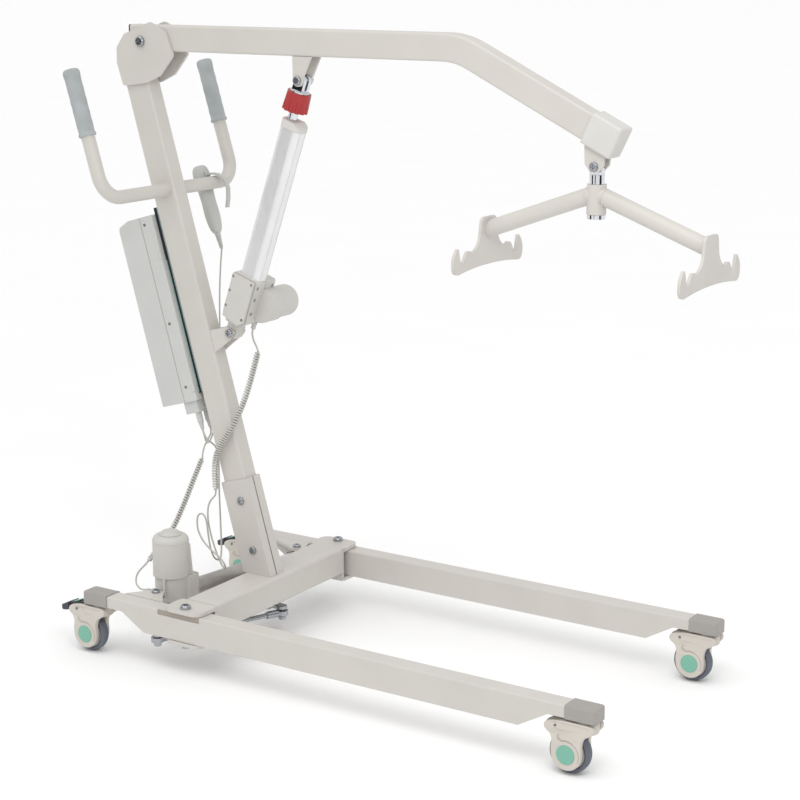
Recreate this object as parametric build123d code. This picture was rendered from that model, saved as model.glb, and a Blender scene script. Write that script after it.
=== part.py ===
from build123d import *
import math
import os

os.makedirs("parts", exist_ok=True)

# Mobile patient lift, millimetres.  +X points forward along the legs, +Z is up,
# Y = 0 is the plane of symmetry and Z = 0 is the floor.  The sketches measure X
# from the middle of the legs; save() moves every piece to the middle of the lift.
TO_MIDDLE_X = 17.3

# ---- base frame ----
TRACK_HALF = 264.0        # leg centre line from the middle
LEG_W = 40.0
LEG_TOP = 132.0
LEG_BOTTOM = 74.0
SLIM_BOTTOM = 108.5       # underside of the slim leg ends
WALL = 3.0
PIVOT_X = -331.0
PIVOT_Y = 270.0
REAR_STEM_X = -561.0
FRONT_STEM_X = 569.0
CAP_REAR = (-594.0, -528.0)
CAP_FRONT = (536.0, 597.0)
REAR_TAPER = (-488.0, -431.0)
FRONT_TAPER = (442.0, 502.0)

BEAM_X = -328.0
BEAM_DEPTH = 80.0
BEAM_TOP = 142.0
BEAM_BOTTOM = 82.0
BEAM_HALF = 230.0
WEB_T = 6.0

# ---- casters ----
WHEEL_R = 40.0
TYRE_W = 20.0
TRAIL = 29.0
DECK_TOP = 103.0
COLLAR_R = 24.0
FORK_HALF = 22.0
FORK_SLOT = 11.5          # half width of the wheel slot in the fork
LOBE_R = 30.0
NOSE_HALF = 17.0
NOSE_REACH = 75.0         # from the stem to the end of the nose
STEM_R = 5.5
DISC_R = 18.0
PEDAL_PIN = (-40.0, 99.5)  # brake hinge, from the stem
PEDAL_HALF = 10.0

# ---- mast ----
LEAN = 16.1
MAST_X = -337.5           # mast axis where it meets the beam top
MAST_DEPTH = 60.0
MAST_WIDTH = 40.0
MAST_LENGTH = 1085.0
SOCKET_LENGTH = 206.0

# ---- boom ----
PIN_X = -612.0
PIN_Z = 1246.0
BOOM_Z = 1253.5
BOOM_H = 53.0
BOOM_W = 40.0
BOOM_REAR = -645.0
BEND_X = 143.0
BOOM_DROP = 25.85
SLOPE_LENGTH = 366.0
BOOM_CAP_LENGTH = 64.0
UPPER_PIN = (-221.0, 1180.0)
HANGER_PIN = (430.0, 1050.0)
HANGER_SLOT = (304.0, 368.0)  # opening under the end cap, along the slope

# ---- lift actuator ----
LOWER_PIN = (-402.0, 655.0)
PIN_TO_PIN = math.dist(LOWER_PIN, UPPER_PIN)

# ---- sling bar ----
HUB_TOP = 1018.0
HUB_BOTTOM = 963.0
HUB_R = 18.0
ARM_R = 16.0
ARM_HUB_Z = 1001.0
ARM_END_Z = 918.0
PLATE_REACH = 226.0
PLATE_T = 6.0

MINZ = (Align.CENTER, Align.CENTER, Align.MIN)
MAXZ = (Align.CENTER, Align.CENTER, Align.MAX)
MID = (Align.CENTER, Align.CENTER, Align.CENTER)

lean = math.radians(LEAN)
MAST = Plane(
    origin=(MAST_X, 0, BEAM_TOP),
    x_dir=(math.cos(lean), 0, math.sin(lean)),
    z_dir=(-math.sin(lean), 0, math.cos(lean)),
).location

tilt = math.atan2(UPPER_PIN[0] - LOWER_PIN[0], UPPER_PIN[1] - LOWER_PIN[1])
RAM = Plane(
    origin=(LOWER_PIN[0], 0, LOWER_PIN[1]),
    x_dir=(math.cos(tilt), 0, -math.sin(tilt)),
    z_dir=(math.sin(tilt), 0, math.cos(tilt)),
).location


def save(node, *bodies):
    """Write one STEP file holding the node's separate solids."""
    solids = [Pos(TO_MIDDLE_X, 0, 0) * solid for body in bodies for solid in body.solids()]
    shape = solids[0] if len(solids) == 1 else Compound(children=solids)
    export_step(shape, f"parts/{node}.step")


def block(x, y, z):
    """Box from three (low, high) pairs."""
    size = (x[1] - x[0], y[1] - y[0], z[1] - z[0])
    return Pos((x[0] + x[1]) / 2, (y[0] + y[1]) / 2, (z[0] + z[1]) / 2) * Box(*size)


def soft_block(x, y, z, radius, axis=Axis.Z):
    """Box whose edges along one axis are rounded."""
    body = block(x, y, z)
    return fillet(body.edges().filter_by(axis), radius)


def post(x, y, z, radius):
    """Upright cylinder from z[0] to z[1]."""
    return Pos(x, y, z[0]) * Cylinder(radius, z[1] - z[0], align=MINZ)


def cross_pin(x, z, y, radius):
    """Cylinder along Y from y[0] to y[1]."""
    rod = Cylinder(radius, y[1] - y[0], align=MID)
    return Pos(x, (y[0] + y[1]) / 2, z) * Rot(90, 0, 0) * rod


def side_plate(points, y, radius=0.0):
    """Plate drawn in the XZ plane and spanning y[0] to y[1]."""
    face = make_face(Polyline(*[(px, pz) for px, pz in points], close=True))
    if radius:
        face = fillet(face.vertices(), radius)
    plane = Plane(origin=(0, y[1], 0), x_dir=(1, 0, 0), z_dir=(0, -1, 0))
    return extrude(plane * face, y[1] - y[0])


def box_tube(length, depth, width, wall, radius):
    """Rectangular tube standing on the XY plane."""
    outer = extrude(RectangleRounded(depth, width, radius), length)
    inner = extrude(RectangleRounded(depth - 2 * wall, width - 2 * wall, radius - wall + 1), length)
    return outer - inner


def hex_head(radius, height):
    return extrude(RegularPolygon(radius, 6), height)


def button_head(radius, height):
    """Low domed screw head with a cross recess, standing on the XY plane."""
    head = Cylinder(radius, height, align=MINZ)
    head = fillet(head.faces().sort_by(Axis.Z)[-1].edges(), height * 0.55)
    slot = Pos(0, 0, height) * Box(radius * 1.0, radius * 0.26, height * 0.8)
    return head - slot - Rot(0, 0, 90) * slot


def towards_minus_y(shape):
    """Turn a shape that stands on XY so that it points along -Y."""
    return Rot(90, 0, 0) * shape


def towards_plus_y(shape):
    return Rot(-90, 0, 0) * shape


# =====================================================================
# base: cross-beam, leg forks, mast socket
# =====================================================================

def fork_plate(side, z):
    """Rounded plate that reaches out from the beam over or under a leg."""
    inner, outer = BEAM_HALF, 287.0
    low, high = sorted((side * inner, side * outer))
    plate = block((PIVOT_X - 46, PIVOT_X + 46), (low, high), z)
    edges = plate.edges().filter_by(Axis.Z).group_by(Axis.Y)[0 if side < 0 else -1]
    plate = fillet(edges, 20)
    return plate - post(PIVOT_X, side * PIVOT_Y, (z[0] - 1, z[1] + 1), 6.1)


def make_crossbeam():
    """Tube closed by an upright plate at each end, with two leg plates welded to each."""
    half = BEAM_HALF - WEB_T
    pieces = [Pos(BEAM_X, 0, (BEAM_TOP + BEAM_BOTTOM) / 2) * Rot(90, 0, 0) * Pos(0, 0, -half) * box_tube(
        2 * half, BEAM_DEPTH, BEAM_TOP - BEAM_BOTTOM, 4, 6)]
    for side in (-1, 1):
        web = sorted((side * half, side * BEAM_HALF))
        pieces.append(block((PIVOT_X - 43, PIVOT_X + 43), web, (66, 141)))
        pieces += [fork_plate(side, (133, 141)), fork_plate(side, (66, 73))]
    boss = post(BEAM_X, 0, (BEAM_BOTTOM - 5.5, BEAM_BOTTOM), 13)
    pin = post(BEAM_X, 0, (62, BEAM_BOTTOM), 5.0)
    nut = Pos(BEAM_X, 0, 62) * hex_head(9, 6)
    pieces.append(boss + pin + nut)
    return pieces


def make_socket_half(side):
    """Folded channel that clamps one side of the mast foot."""
    outer = MAST * Pos(0, 0, SOCKET_LENGTH / 2 - 20) * Box(MAST_DEPTH + 8.4, 47, SOCKET_LENGTH + 40)
    core = MAST * Pos(0, 0, SOCKET_LENGTH / 2) * Box(MAST_DEPTH, MAST_WIDTH, SOCKET_LENGTH + 90)
    half_space = block((-700, 0), sorted((side * 1.6, side * 60)), (BEAM_TOP, 500))
    shell = (outer - core) & half_space
    return shell


def make_socket_bolts():
    bolts = []
    for h in (53.0, 161.0):
        for side in (-1, 1):
            head = button_head(8.5, 5.0)
            turned = towards_minus_y(head) if side < 0 else towards_plus_y(head)
            bolts.append(MAST * Pos(6, side * 23.5, h) * turned)
    return bolts


save("crossbeam", *make_crossbeam())
save("mast_socket", make_socket_half(-1), make_socket_half(1))
save("socket_bolts", *make_socket_bolts())

# =====================================================================
# mast, yoke, handle
# =====================================================================

BAR_LOCAL = (8.0, 831.0)          # handle bar centre in the mast frame
BAR_R = 14.0
ARM_SPAN = 212.0
GRIP_R = 17.0


def make_mast():
    tube = MAST * Pos(0, 0, 3) * box_tube(MAST_LENGTH, MAST_DEPTH, MAST_WIDTH, WALL, 5)
    cap = MAST * Pos(0, 0, MAST_LENGTH + 1) * Box(MAST_DEPTH - 5, MAST_WIDTH - 5, 3, align=MINZ)
    bar_hole = MAST * Pos(BAR_LOCAL[0], 0, BAR_LOCAL[1]) * Rot(90, 0, 0) * Cylinder(BAR_R, 80)
    below = block((-400, -200), (-40, 40), (0, BEAM_TOP))
    return tube + cap - bar_hole - below


def make_yoke():
    """Pair of cheeks welded to the mast top; the boom swings between them."""
    outline = [(-31, 1062), (-33, 1112), (-24, 1142), (4, 1163), (78, 1168), (112, 1138),
               (116, 1088), (70, 1058), (31, 1052)]
    cheeks = []
    for side in (-1, 1):
        y = sorted((side * 20.6, side * 26.6))
        cheek = MAST * side_plate(outline, y)
        rounded = fillet(cheek.edges().filter_by(Axis.Y), 8)
        hole = cross_pin(PIN_X, PIN_Z, (-40, 40), 6.05)
        cheeks.append(rounded - hole)
    bridge = MAST * block((-29, 29), (-20.7, 20.7), (MAST_LENGTH + 4.2, MAST_LENGTH + 9))
    return cheeks[0] + cheeks[1] + bridge


def handle_path():
    """Bar across the mast with two arms leaning back."""
    bar = MAST * Pos(BAR_LOCAL[0], 0, BAR_LOCAL[1])
    x, z = bar.position.X, bar.position.Z
    back = math.radians(17.0)
    reach = 262.0
    tip = (x - reach * math.sin(back), z + reach * math.cos(back))
    return FilletPolyline(
        (tip[0], -ARM_SPAN, tip[1]), (x, -ARM_SPAN, z), (x, ARM_SPAN, z), (tip[0], ARM_SPAN, tip[1]),
        radius=48)


def make_handle():
    path = handle_path()
    profile = Plane(origin=path @ 0, z_dir=path % 0) * Circle(BAR_R)
    return sweep(profile, path=path)


def make_grip(side):
    """Closed rubber sleeve over the end of a handle arm."""
    path = handle_path()
    end = path @ 0 if side < 0 else path @ 1
    down = path % 0 if side < 0 else (path % 1) * -1
    seat = Plane(origin=end, z_dir=down).location
    sleeve = Pos(0, 0, -5) * Cylinder(GRIP_R, 137, align=MINZ)
    sleeve = fillet(sleeve.edges(), 3)
    bore = Cylinder(BAR_R, 140, align=MINZ)
    return seat * (sleeve - bore)


def make_actuator_bracket():
    ears = []
    outline = [(30, 478), (30, 526), (76, 525), (94, 511), (76, 497)]
    for side in (-1, 1):
        y = sorted((side * 13.6, side * 18.6))
        ear = MAST * side_plate(outline, y)
        ear = ear - cross_pin(LOWER_PIN[0], LOWER_PIN[1], (-40, 40), 5.1)
        ears.append(ear)
    web = MAST * block((30, 34), (-18.6, 18.6), (478, 526))
    return ears[0] + ears[1] + web


def make_frame_pins():
    """Boom pivot bolt and the lower bolt of the lift actuator."""
    boom_pin = cross_pin(PIN_X, PIN_Z, (-26.6, 26.6), 6.0)
    near = Pos(PIN_X, -26.6, PIN_Z) * towards_minus_y(button_head(11, 7))
    far = Pos(PIN_X, 26.6, PIN_Z) * towards_plus_y(hex_head(10, 8))
    ram_pin = cross_pin(LOWER_PIN[0], LOWER_PIN[1], (-18.6, 18.6), 5.0)
    ram_near = Pos(LOWER_PIN[0], -18.6, LOWER_PIN[1]) * towards_minus_y(button_head(9, 6))
    ram_far = Pos(LOWER_PIN[0], 18.6, LOWER_PIN[1]) * towards_plus_y(hex_head(8.5, 7))
    return [boom_pin + near + far, ram_pin + ram_near + ram_far]


save("mast", make_mast())
save("mast_yoke", make_yoke())
save("handle_bar", make_handle())
save("handle_grips", make_grip(-1), make_grip(1))
save("actuator_bracket", make_actuator_bracket())
save("frame_pins", *make_frame_pins())

# =====================================================================
# control box behind the mast
# =====================================================================

BOX_HALF = 30.0
BOX_FRONT = -40.5
BOX_SEAM = -74.0
BOX_REAR = -141.0
BOX_LOW = 388.0
BOX_HIGH = 789.0
BUTTON_H = 735.0
PLUGS = ((-57.0, -14.0), (-57.0, 12.0), (-73.0, 4.0))  # lift, spreader, handset
PLUG_LOW = 324.0


def make_rail():
    rail = block((-40, -30), (-17, 17), (402, 802))
    grooves = [block((-37.5, -32.5), (s * 17 - 2, s * 17 + 2), (400, 804)) for s in (-1, 1)]
    return MAST * (rail - grooves[0] - grooves[1])


def make_box_base():
    body = block((BOX_SEAM, BOX_FRONT), (-BOX_HALF, BOX_HALF), (BOX_LOW, BOX_HIGH))
    body = fillet(body.edges().filter_by(Axis.Z).group_by(Axis.X)[-1], 3)
    return MAST * body


def make_box_cover():
    x0 = BOX_REAR
    x1 = BOX_SEAM - 0.1
    outline = [(x1, BOX_LOW), (x0 + 6, BOX_LOW), (x0, BOX_LOW + 6), (x0, BOX_HIGH - 20),
               (x0 + 8, BOX_HIGH - 9), (x0 + 34, BOX_HIGH), (x1, BOX_HIGH)]
    body = side_plate(outline, (-BOX_HALF, BOX_HALF))
    body = fillet(body.edges().filter_by(Axis.Z).group_by(Axis.X)[0], 8)
    stop_bore = Pos(x0, 0, BUTTON_H) * Rot(0, 90, 0) * Cylinder(9.2, 24, align=MID)
    return MAST * (body - stop_bore)


def make_stop_button():
    stem = Pos(5, 0, 0) * Rot(0, -90, 0) * Cylinder(9.0, 11, align=MINZ)
    head = Pos(-4.8, 0, 0) * Rot(0, -90, 0) * Cylinder(11, 6, align=MINZ)
    head = fillet(head.edges().group_by(Axis.X)[0], 2)
    return MAST * Pos(BOX_REAR, 0, BUTTON_H) * (stem + head)


def make_lead_sockets():
    """Connector block under the box and the three plugs in it."""
    housing = MAST * block((-82, -46), (-24, 24), (362, BOX_LOW - 0.1))
    plugs = []
    for x, y in PLUGS:
        plug = Pos(x, y, 362) * Cylinder(6.5, 22, align=MAXZ)
        relief = Pos(x, y, PLUG_LOW) * Cone(3.4, 5.5, 340 - PLUG_LOW, align=MINZ)
        plugs.append(MAST * (plug + relief))
    return [housing] + plugs


save("mounting_rail", make_rail())
save("control_box_base", make_box_base())
save("control_box_cover", make_box_cover())
save("emergency_button", make_stop_button())
save("lead_sockets", *make_lead_sockets())

# =====================================================================
# legs
# =====================================================================

DRIVE_NEAR = (-462.0, -206.0)     # spreader pin on the near leg
DRIVE_FAR = (-398.0, 205.0)       # spreader pin on the far leg
DRIVE_Z = 118.0
ROD_Z = 60.0
TIE_X = -408.0
TIE_Y = 268.0
GUSSET = (126.0, 132.0)
LOWER_GUSSET = 92.0
UPPER_GUSSET_REAR = -512.0
LOWER_GUSSET_REAR = -455.0  # leaves the brake pedal room to swing under the leg


def leg_outline(offset):
    """Side outline of a leg, drawn in X and Z and shrunk by the wall."""
    top = LEG_TOP - offset
    slim = SLIM_BOTTOM + offset
    deep = LEG_BOTTOM + offset
    rear = CAP_REAR[0] + 8
    front = CAP_FRONT[1] - 8
    return [(rear, top), (front, top), (front, slim), (FRONT_TAPER[1], slim), (FRONT_TAPER[0], deep),
            (REAR_TAPER[1], deep), (REAR_TAPER[0], slim), (rear, slim)]


def gusset_outline(side, rear):
    """Inward plate that carries the spreader pin."""
    pin = DRIVE_NEAR if side < 0 else DRIVE_FAR
    edge = side * (TRACK_HALF - LEG_W / 2)
    tip = pin[1] - side * 14
    return [(rear, edge), (pin[0] - 20, pin[1] - side * 4), (pin[0] - 10, tip), (pin[0] + 12, tip),
            (pin[0] + 20, pin[1] + side * 2), (min(pin[0] + 50, -392), edge)]


def make_leg(side):
    """Leg welded up from a deep middle length, two slim ends and two inward plates."""
    y0 = side * TRACK_HALF
    span = (y0 - LEG_W / 2, y0 + LEG_W / 2)
    shell = side_plate(leg_outline(0), span)
    shell = fillet(shell.edges().filter_by(Axis.X).group_by(Axis.Z)[-1], 4)
    hollow = side_plate(leg_outline(WALL), (span[0] + WALL, span[1] - WALL))
    leg = shell - hollow
    outer = side * (TRACK_HALF + LEG_W / 2)
    notch = block((-393, -286), sorted((outer + side, outer - side * 2.0)), (121, LEG_TOP + 1))
    leg = leg - notch
    sleeve = post(PIVOT_X, side * PIVOT_Y, (LEG_BOTTOM, LEG_TOP), 9)
    bore = post(PIVOT_X, side * PIVOT_Y, (LEG_BOTTOM - 1, LEG_TOP + 1), 6.08)
    leg = leg + (sleeve & block((-400, -200), span, (0, 200))) - bore
    pin = DRIVE_NEAR if side < 0 else DRIVE_FAR
    plates = []
    for rear, z in ((UPPER_GUSSET_REAR, GUSSET[0]), (LOWER_GUSSET_REAR, LOWER_GUSSET)):
        plate = extrude(make_face(Polyline(*gusset_outline(side, rear), close=True)), GUSSET[1] - GUSSET[0])
        inner_edges = plate.edges().filter_by(Axis.Z).sort_by(Axis.Y)
        inner_edges = inner_edges[2:] if side < 0 else inner_edges[:-2]
        plates.append(Pos(0, 0, z) * fillet(inner_edges, 5) - post(pin[0], pin[1], (60, 140), 5.05))
    for x in (REAR_STEM_X, FRONT_STEM_X):
        leg = leg - post(x, y0, (100, 125), STEM_R + 0.6)
    lengths = ((-700, REAR_TAPER[0]), (REAR_TAPER[0], FRONT_TAPER[1]), (FRONT_TAPER[1], 700))
    return [leg & block(x, (y0 - LEG_W, y0 + LEG_W), (0, 200)) for x in lengths] + plates


def make_leg_caps(side):
    """Moulded end caps with the caster sockets in them."""
    y0 = side * TRACK_HALF
    caps = []
    for x, stem in ((CAP_REAR, REAR_STEM_X), (CAP_FRONT, FRONT_STEM_X)):
        cap = block(x, (y0 - 21.6, y0 + 21.6), (SLIM_BOTTOM - 1, LEG_TOP + 1.6))
        at_rear = x is CAP_REAR
        cap = fillet(cap.edges().filter_by(Axis.Z).group_by(Axis.X)[0 if at_rear else -1], 8)
        top_edges = cap.faces().sort_by(Axis.Z)[-1].edges().sort_by(Axis.X)
        cap = fillet(top_edges[:-1] if at_rear else top_edges[1:], 4)
        rear = CAP_REAR[0] + 8
        front = CAP_FRONT[1] - 8
        core = block((rear, front), (y0 - LEG_W / 2, y0 + LEG_W / 2), (SLIM_BOTTOM, LEG_TOP))
        bore = post(stem, y0, (100, 125), STEM_R + 0.06)
        caps.append(cap - core - bore)
    return caps


def make_leg_pins(side):
    """Spreader pin, tie-rod pin and their heads, fixed to one leg."""
    pin = DRIVE_NEAR if side < 0 else DRIVE_FAR
    drive = post(pin[0], pin[1], (LOWER_GUSSET, GUSSET[1]), 5.0)
    head = Pos(pin[0], pin[1], GUSSET[1]) * button_head(9, 6)
    tie = post(TIE_X, side * TIE_Y, (52, LEG_BOTTOM), 5.0)
    collar = post(TIE_X, side * TIE_Y, (67, LEG_BOTTOM), 9.0)
    nut = Pos(TIE_X, side * TIE_Y, 46.5) * hex_head(8.5, 7)
    return [drive + head, tie + collar + nut]


def make_pivot_bolts():
    bolts = []
    for side in (-1, 1):
        shank = post(PIVOT_X, side * PIVOT_Y, (66, 141), 6.0)
        head = Pos(PIVOT_X, side * PIVOT_Y, 141) * button_head(11, 8)
        nut = Pos(PIVOT_X, side * PIVOT_Y, 58) * hex_head(10, 8)
        bolts.append(shank + head + nut)
    return bolts


for name, side in (("near", -1), ("far", 1)):
    save(f"leg_{name}", *make_leg(side))
    save(f"leg_caps_{name}", *make_leg_caps(side))
    save(f"leg_pins_{name}", *make_leg_pins(side))
save("leg_pivot_bolts", *make_pivot_bolts())

# =====================================================================
# casters
# =====================================================================


def make_caster_fork(stem_x, y):
    """Swivel fork with two side covers and the coloured discs on them."""
    wheel_x = stem_x - TRAIL
    plan = post(stem_x, y, (0, DECK_TOP), COLLAR_R)
    plan = plan + block((wheel_x - LOBE_R, stem_x + 8), (y - FORK_HALF, y + FORK_HALF), (0, DECK_TOP))
    nose = (stem_x - NOSE_REACH, stem_x)
    plan = plan + soft_block(nose, (y - NOSE_HALF, y + NOSE_HALF), (0, DECK_TOP), 12)
    outline = [(-76, 83), (-74, 92), (-52, 100), (-34, DECK_TOP), (25, DECK_TOP), (25, 92), (16, 84),
               (5, 77), (0, 64), (1, 46), (-29, 30), (-59, 46), (-57, 68)]
    side = side_plate([(stem_x + px, pz) for px, pz in outline], (y - 30, y + 30))
    lobe = cross_pin(wheel_x, WHEEL_R, (y - FORK_HALF, y + FORK_HALF), LOBE_R)
    body = (plan & side) + lobe
    slot = cross_pin(wheel_x, WHEEL_R, (y - FORK_SLOT, y + FORK_SLOT), WHEEL_R + 2.5)
    under = block((wheel_x - 60, wheel_x + 60), (y - FORK_SLOT, y + FORK_SLOT), (0, WHEEL_R))
    body = body - slot - under
    if stem_x < 0:
        body = body - pedal_slot(stem_x, y)
    neck_ring = post(stem_x, y, (DECK_TOP, SLIM_BOTTOM - 1.4), 15)
    stem = post(stem_x, y, (DECK_TOP, 124), STEM_R)
    axle = cross_pin(wheel_x, WHEEL_R, (y - 14, y + 14), 4.0)
    fork = body + neck_ring + stem + axle
    discs = []
    for s in (-1, 1):
        y_disc = sorted((y + s * FORK_HALF, y + s * (FORK_HALF + 0.8)))
        discs.append(cross_pin(wheel_x, WHEEL_R, y_disc, DISC_R))
    return [fork] + discs


def pedal_slot(stem_x, y):
    """Room for the brake lever in the top of the nose, with holes for its pin."""
    px, pz = PEDAL_PIN
    outline = [(px + 7, 110), (px + 7, 91), (-90, 80), (-90, 110)]
    half = PEDAL_HALF + 0.5
    slot = side_plate([(stem_x + x, z) for x, z in outline], (y - half, y + half))
    return slot + cross_pin(stem_x + px, pz, (y - 14, y + 14), 2.05)


def make_caster_wheel(stem_x, y):
    wheel_x = stem_x - TRAIL
    half = TYRE_W / 2
    hub = cross_pin(wheel_x, WHEEL_R, (y - half + 1, y + half - 1), WHEEL_R - 9)
    hub = hub - cross_pin(wheel_x, WHEEL_R, (y - half, y + half), 4.06)
    tyre = cross_pin(wheel_x, WHEEL_R, (y - half, y + half), WHEEL_R)
    tyre = fillet(tyre.edges(), 6)
    tyre = tyre - cross_pin(wheel_x, WHEEL_R, (y - half, y + half), WHEEL_R - 9)
    return [hub, tyre]


def make_pedal(stem_x, y):
    """Brake lever hinged in the nose of the fork, with a broad toe piece."""
    px, pz = PEDAL_PIN
    lever = [(px + 4, 104), (px - 4, 104.5), (-78, 98.5), (-78, 92.5), (px + 2, 95)]
    arm = side_plate([(stem_x + x, z) for x, z in lever], (y - PEDAL_HALF, y + PEDAL_HALF))
    pin = cross_pin(stem_x + px, pz, (y - 13.5, y + 13.5), 2.0)
    toe_side = [(-77, 99), (-78.5, 91), (-80, 82), (-92, 80), (-98, 83), (-98, 90)]
    toe = side_plate([(stem_x + x, z) for x, z in toe_side], (y - 16, y + 16))
    toe = fillet(toe.edges().filter_by(Axis.Z), 4)
    return arm + pin + toe


CASTERS = (
    ("rear_near", REAR_STEM_X, -TRACK_HALF),
    ("rear_far", REAR_STEM_X, TRACK_HALF),
    ("front_near", FRONT_STEM_X, -TRACK_HALF),
    ("front_far", FRONT_STEM_X, TRACK_HALF),
)
for name, stem_x, y in CASTERS:
    save(f"caster_fork_{name}", *make_caster_fork(stem_x, y))
    save(f"caster_wheel_{name}", *make_caster_wheel(stem_x, y))
    if name.startswith("rear"):
        save(f"brake_pedal_{name}", make_pedal(stem_x, y))

# =====================================================================
# leg spreader: drive, equaliser crank, tie rods
# =====================================================================

spread = math.atan2(DRIVE_FAR[0] - DRIVE_NEAR[0], DRIVE_FAR[1] - DRIVE_NEAR[1])
SPREAD_LENGTH = math.dist(DRIVE_NEAR, DRIVE_FAR)
SPREADER = Plane(
    origin=(DRIVE_NEAR[0], DRIVE_NEAR[1], DRIVE_Z - 5),
    x_dir=(math.cos(spread), -math.sin(spread), 0),
    z_dir=(math.sin(spread), math.cos(spread), 0),
).location
# in this frame Z runs from the near pin to the far pin, X points forward and Y points down
CRANK_ARM = 38.0
SPREAD_MOTOR_R = 38.0


def make_spreader_drive():
    eye = Rot(90, 0, 0) * Cylinder(15, 12, align=MID)
    neck = block((-13, 13), (-6, 6), (0, 27))
    housing = block((-40, 30), (-44, 18), (62, 98))
    housing = fillet(housing.edges().filter_by(Axis.Y), 8)
    pot = Pos(-9, -13, 54) * Rot(90, 0, 0) * Cylinder(36, 62, align=MID)
    bore = Rot(90, 0, 0) * Cylinder(5.08, 30, align=MID)
    gland = Pos(-40, 0, 42) * Rot(0, -90, 0) * Cylinder(5, 16, align=MINZ)
    gearbox = SPREADER * (eye + neck + housing + pot + gland - bore)
    motor = Cylinder(SPREAD_MOTOR_R, 88, align=MINZ)
    motor = fillet(motor.edges().sort_by(Axis.Z)[-1], 13)
    motor = motor + Pos(0, 0, 87) * Cone(23, 17, 8, align=MINZ)
    seat = (SPREADER * Pos(-9, -44, 52)).position
    return [gearbox, Pos(seat.X, seat.Y, seat.Z) * motor]


def make_spreader_tube():
    tube = Cylinder(22, 200, align=MINZ) - Pos(0, 0, 4) * Cylinder(11.5, 200, align=MINZ)
    return SPREADER * Pos(0, 0, 98) * tube


def make_spreader_rod():
    rod = Pos(0, 0, 190) * Cylinder(9.5, SPREAD_LENGTH - 204, align=MINZ)
    eye = Pos(0, 0, SPREAD_LENGTH) * Rot(90, 0, 0) * Cylinder(15, 12, align=MID)
    bore = Pos(0, 0, SPREAD_LENGTH) * Rot(90, 0, 0) * Cylinder(7.5, 30, align=MID)
    return SPREADER * (rod + eye - bore)


def make_crank():
    level = (69.5, 75.5)
    plate = block((BEAM_X - CRANK_ARM, BEAM_X + CRANK_ARM), (-11, 11), level)
    plate = plate + post(BEAM_X - CRANK_ARM, 0, level, 11) + post(BEAM_X + CRANK_ARM, 0, level, 11)
    plate = plate - post(BEAM_X, 0, (60, 80), 5.06)
    for s in (-1, 1):
        plate = plate + post(BEAM_X + s * CRANK_ARM, 0, (50, 70), 5.0)
        plate = plate + Pos(BEAM_X + s * CRANK_ARM, 0, 46) * hex_head(8.5, 6)
    return plate


def make_tie_rod(side):
    """Threaded rod with an eye at each end, from a crank pin to a leg pin."""
    crank_pin = (BEAM_X - side * CRANK_ARM, 0.0)
    leg_pin = (TIE_X, side * TIE_Y)
    dx = leg_pin[0] - crank_pin[0]
    dy = leg_pin[1] - crank_pin[1]
    length = math.hypot(dx, dy)
    frame = Plane(origin=(crank_pin[0], crank_pin[1], ROD_Z), x_dir=(dx, dy, 0), z_dir=(0, 0, 1)).location
    along = Rot(0, 90, 0)
    rod = Pos(10, 0, 0) * along * Cylinder(5, length - 20, align=MINZ)
    body = rod
    for x in (0, length):
        toward = 1 if x == 0 else -1
        body = body + Pos(x, 0, 0) * Cylinder(13, 10, align=MID)
        collar = Pos(x + toward * 24, 0, 0) * along * Cylinder(8, 28, align=MID)
        body = body + collar
    loose = Cylinder(7.2, 20, align=MID)
    snug = Pos(length, 0, 0) * Cylinder(5.06, 20, align=MID)
    return frame * (body - loose - snug)


save("spreader_drive", *make_spreader_drive())
save("spreader_tube", make_spreader_tube())
save("spreader_rod", make_spreader_rod())
save("equaliser_crank", make_crank())
save("tie_rod_near", make_tie_rod(-1))
save("tie_rod_far", make_tie_rod(1))

# =====================================================================
# boom
# =====================================================================

drop = math.radians(BOOM_DROP)


def slope_point(run, up=0.0):
    """Point on the sloping part, run along it and up square to it."""
    x = BEND_X + run * math.cos(drop) + up * math.sin(drop)
    z = BOOM_Z - run * math.sin(drop) + up * math.cos(drop)
    return x, z


def boom_tube(height, width, radius):
    path = FilletPolyline((BOOM_REAR, 0, BOOM_Z), (BEND_X, 0, BOOM_Z),
                          (slope_point(SLOPE_LENGTH)[0], 0, slope_point(SLOPE_LENGTH)[1]), radius=150)
    plane = Plane(origin=path @ 0, x_dir=(0, 1, 0), z_dir=(1, 0, 0))
    return sweep(plane * RectangleRounded(width, height, radius), path=path)


def make_boom():
    tube = boom_tube(BOOM_H, BOOM_W, 5) - boom_tube(BOOM_H - 2 * WALL, BOOM_W - 2 * WALL, 3)
    sleeve = cross_pin(PIN_X, PIN_Z, (-BOOM_W / 2, BOOM_W / 2), 10)
    bore = cross_pin(PIN_X, PIN_Z, (-30, 30), 6.06)
    return tube + sleeve - bore


SLOPE = Plane(origin=(BEND_X, 0, BOOM_Z), x_dir=(math.cos(drop), 0, -math.sin(drop)),
              z_dir=(math.sin(drop), 0, math.cos(drop))).location


def make_boom_cap():
    """Moulded sleeve over the end of the boom."""
    start = SLOPE_LENGTH + 4 - BOOM_CAP_LENGTH
    cap = block((start, SLOPE_LENGTH + 4), (-24, 24), (-BOOM_H / 2 - 4, BOOM_H / 2 + 4))
    cap = fillet(cap.edges().filter_by(Axis.X), 5)
    cap = fillet(cap.edges().group_by(Axis.X)[-1], 5)
    core = block((start - 1, SLOPE_LENGTH), (-BOOM_W / 2, BOOM_W / 2), (-BOOM_H / 2, BOOM_H / 2))
    tab_slot = block(HANGER_SLOT, (-14, 14), (-BOOM_H, -BOOM_H / 2 + 1))
    return SLOPE * (cap - core - tab_slot)


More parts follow.
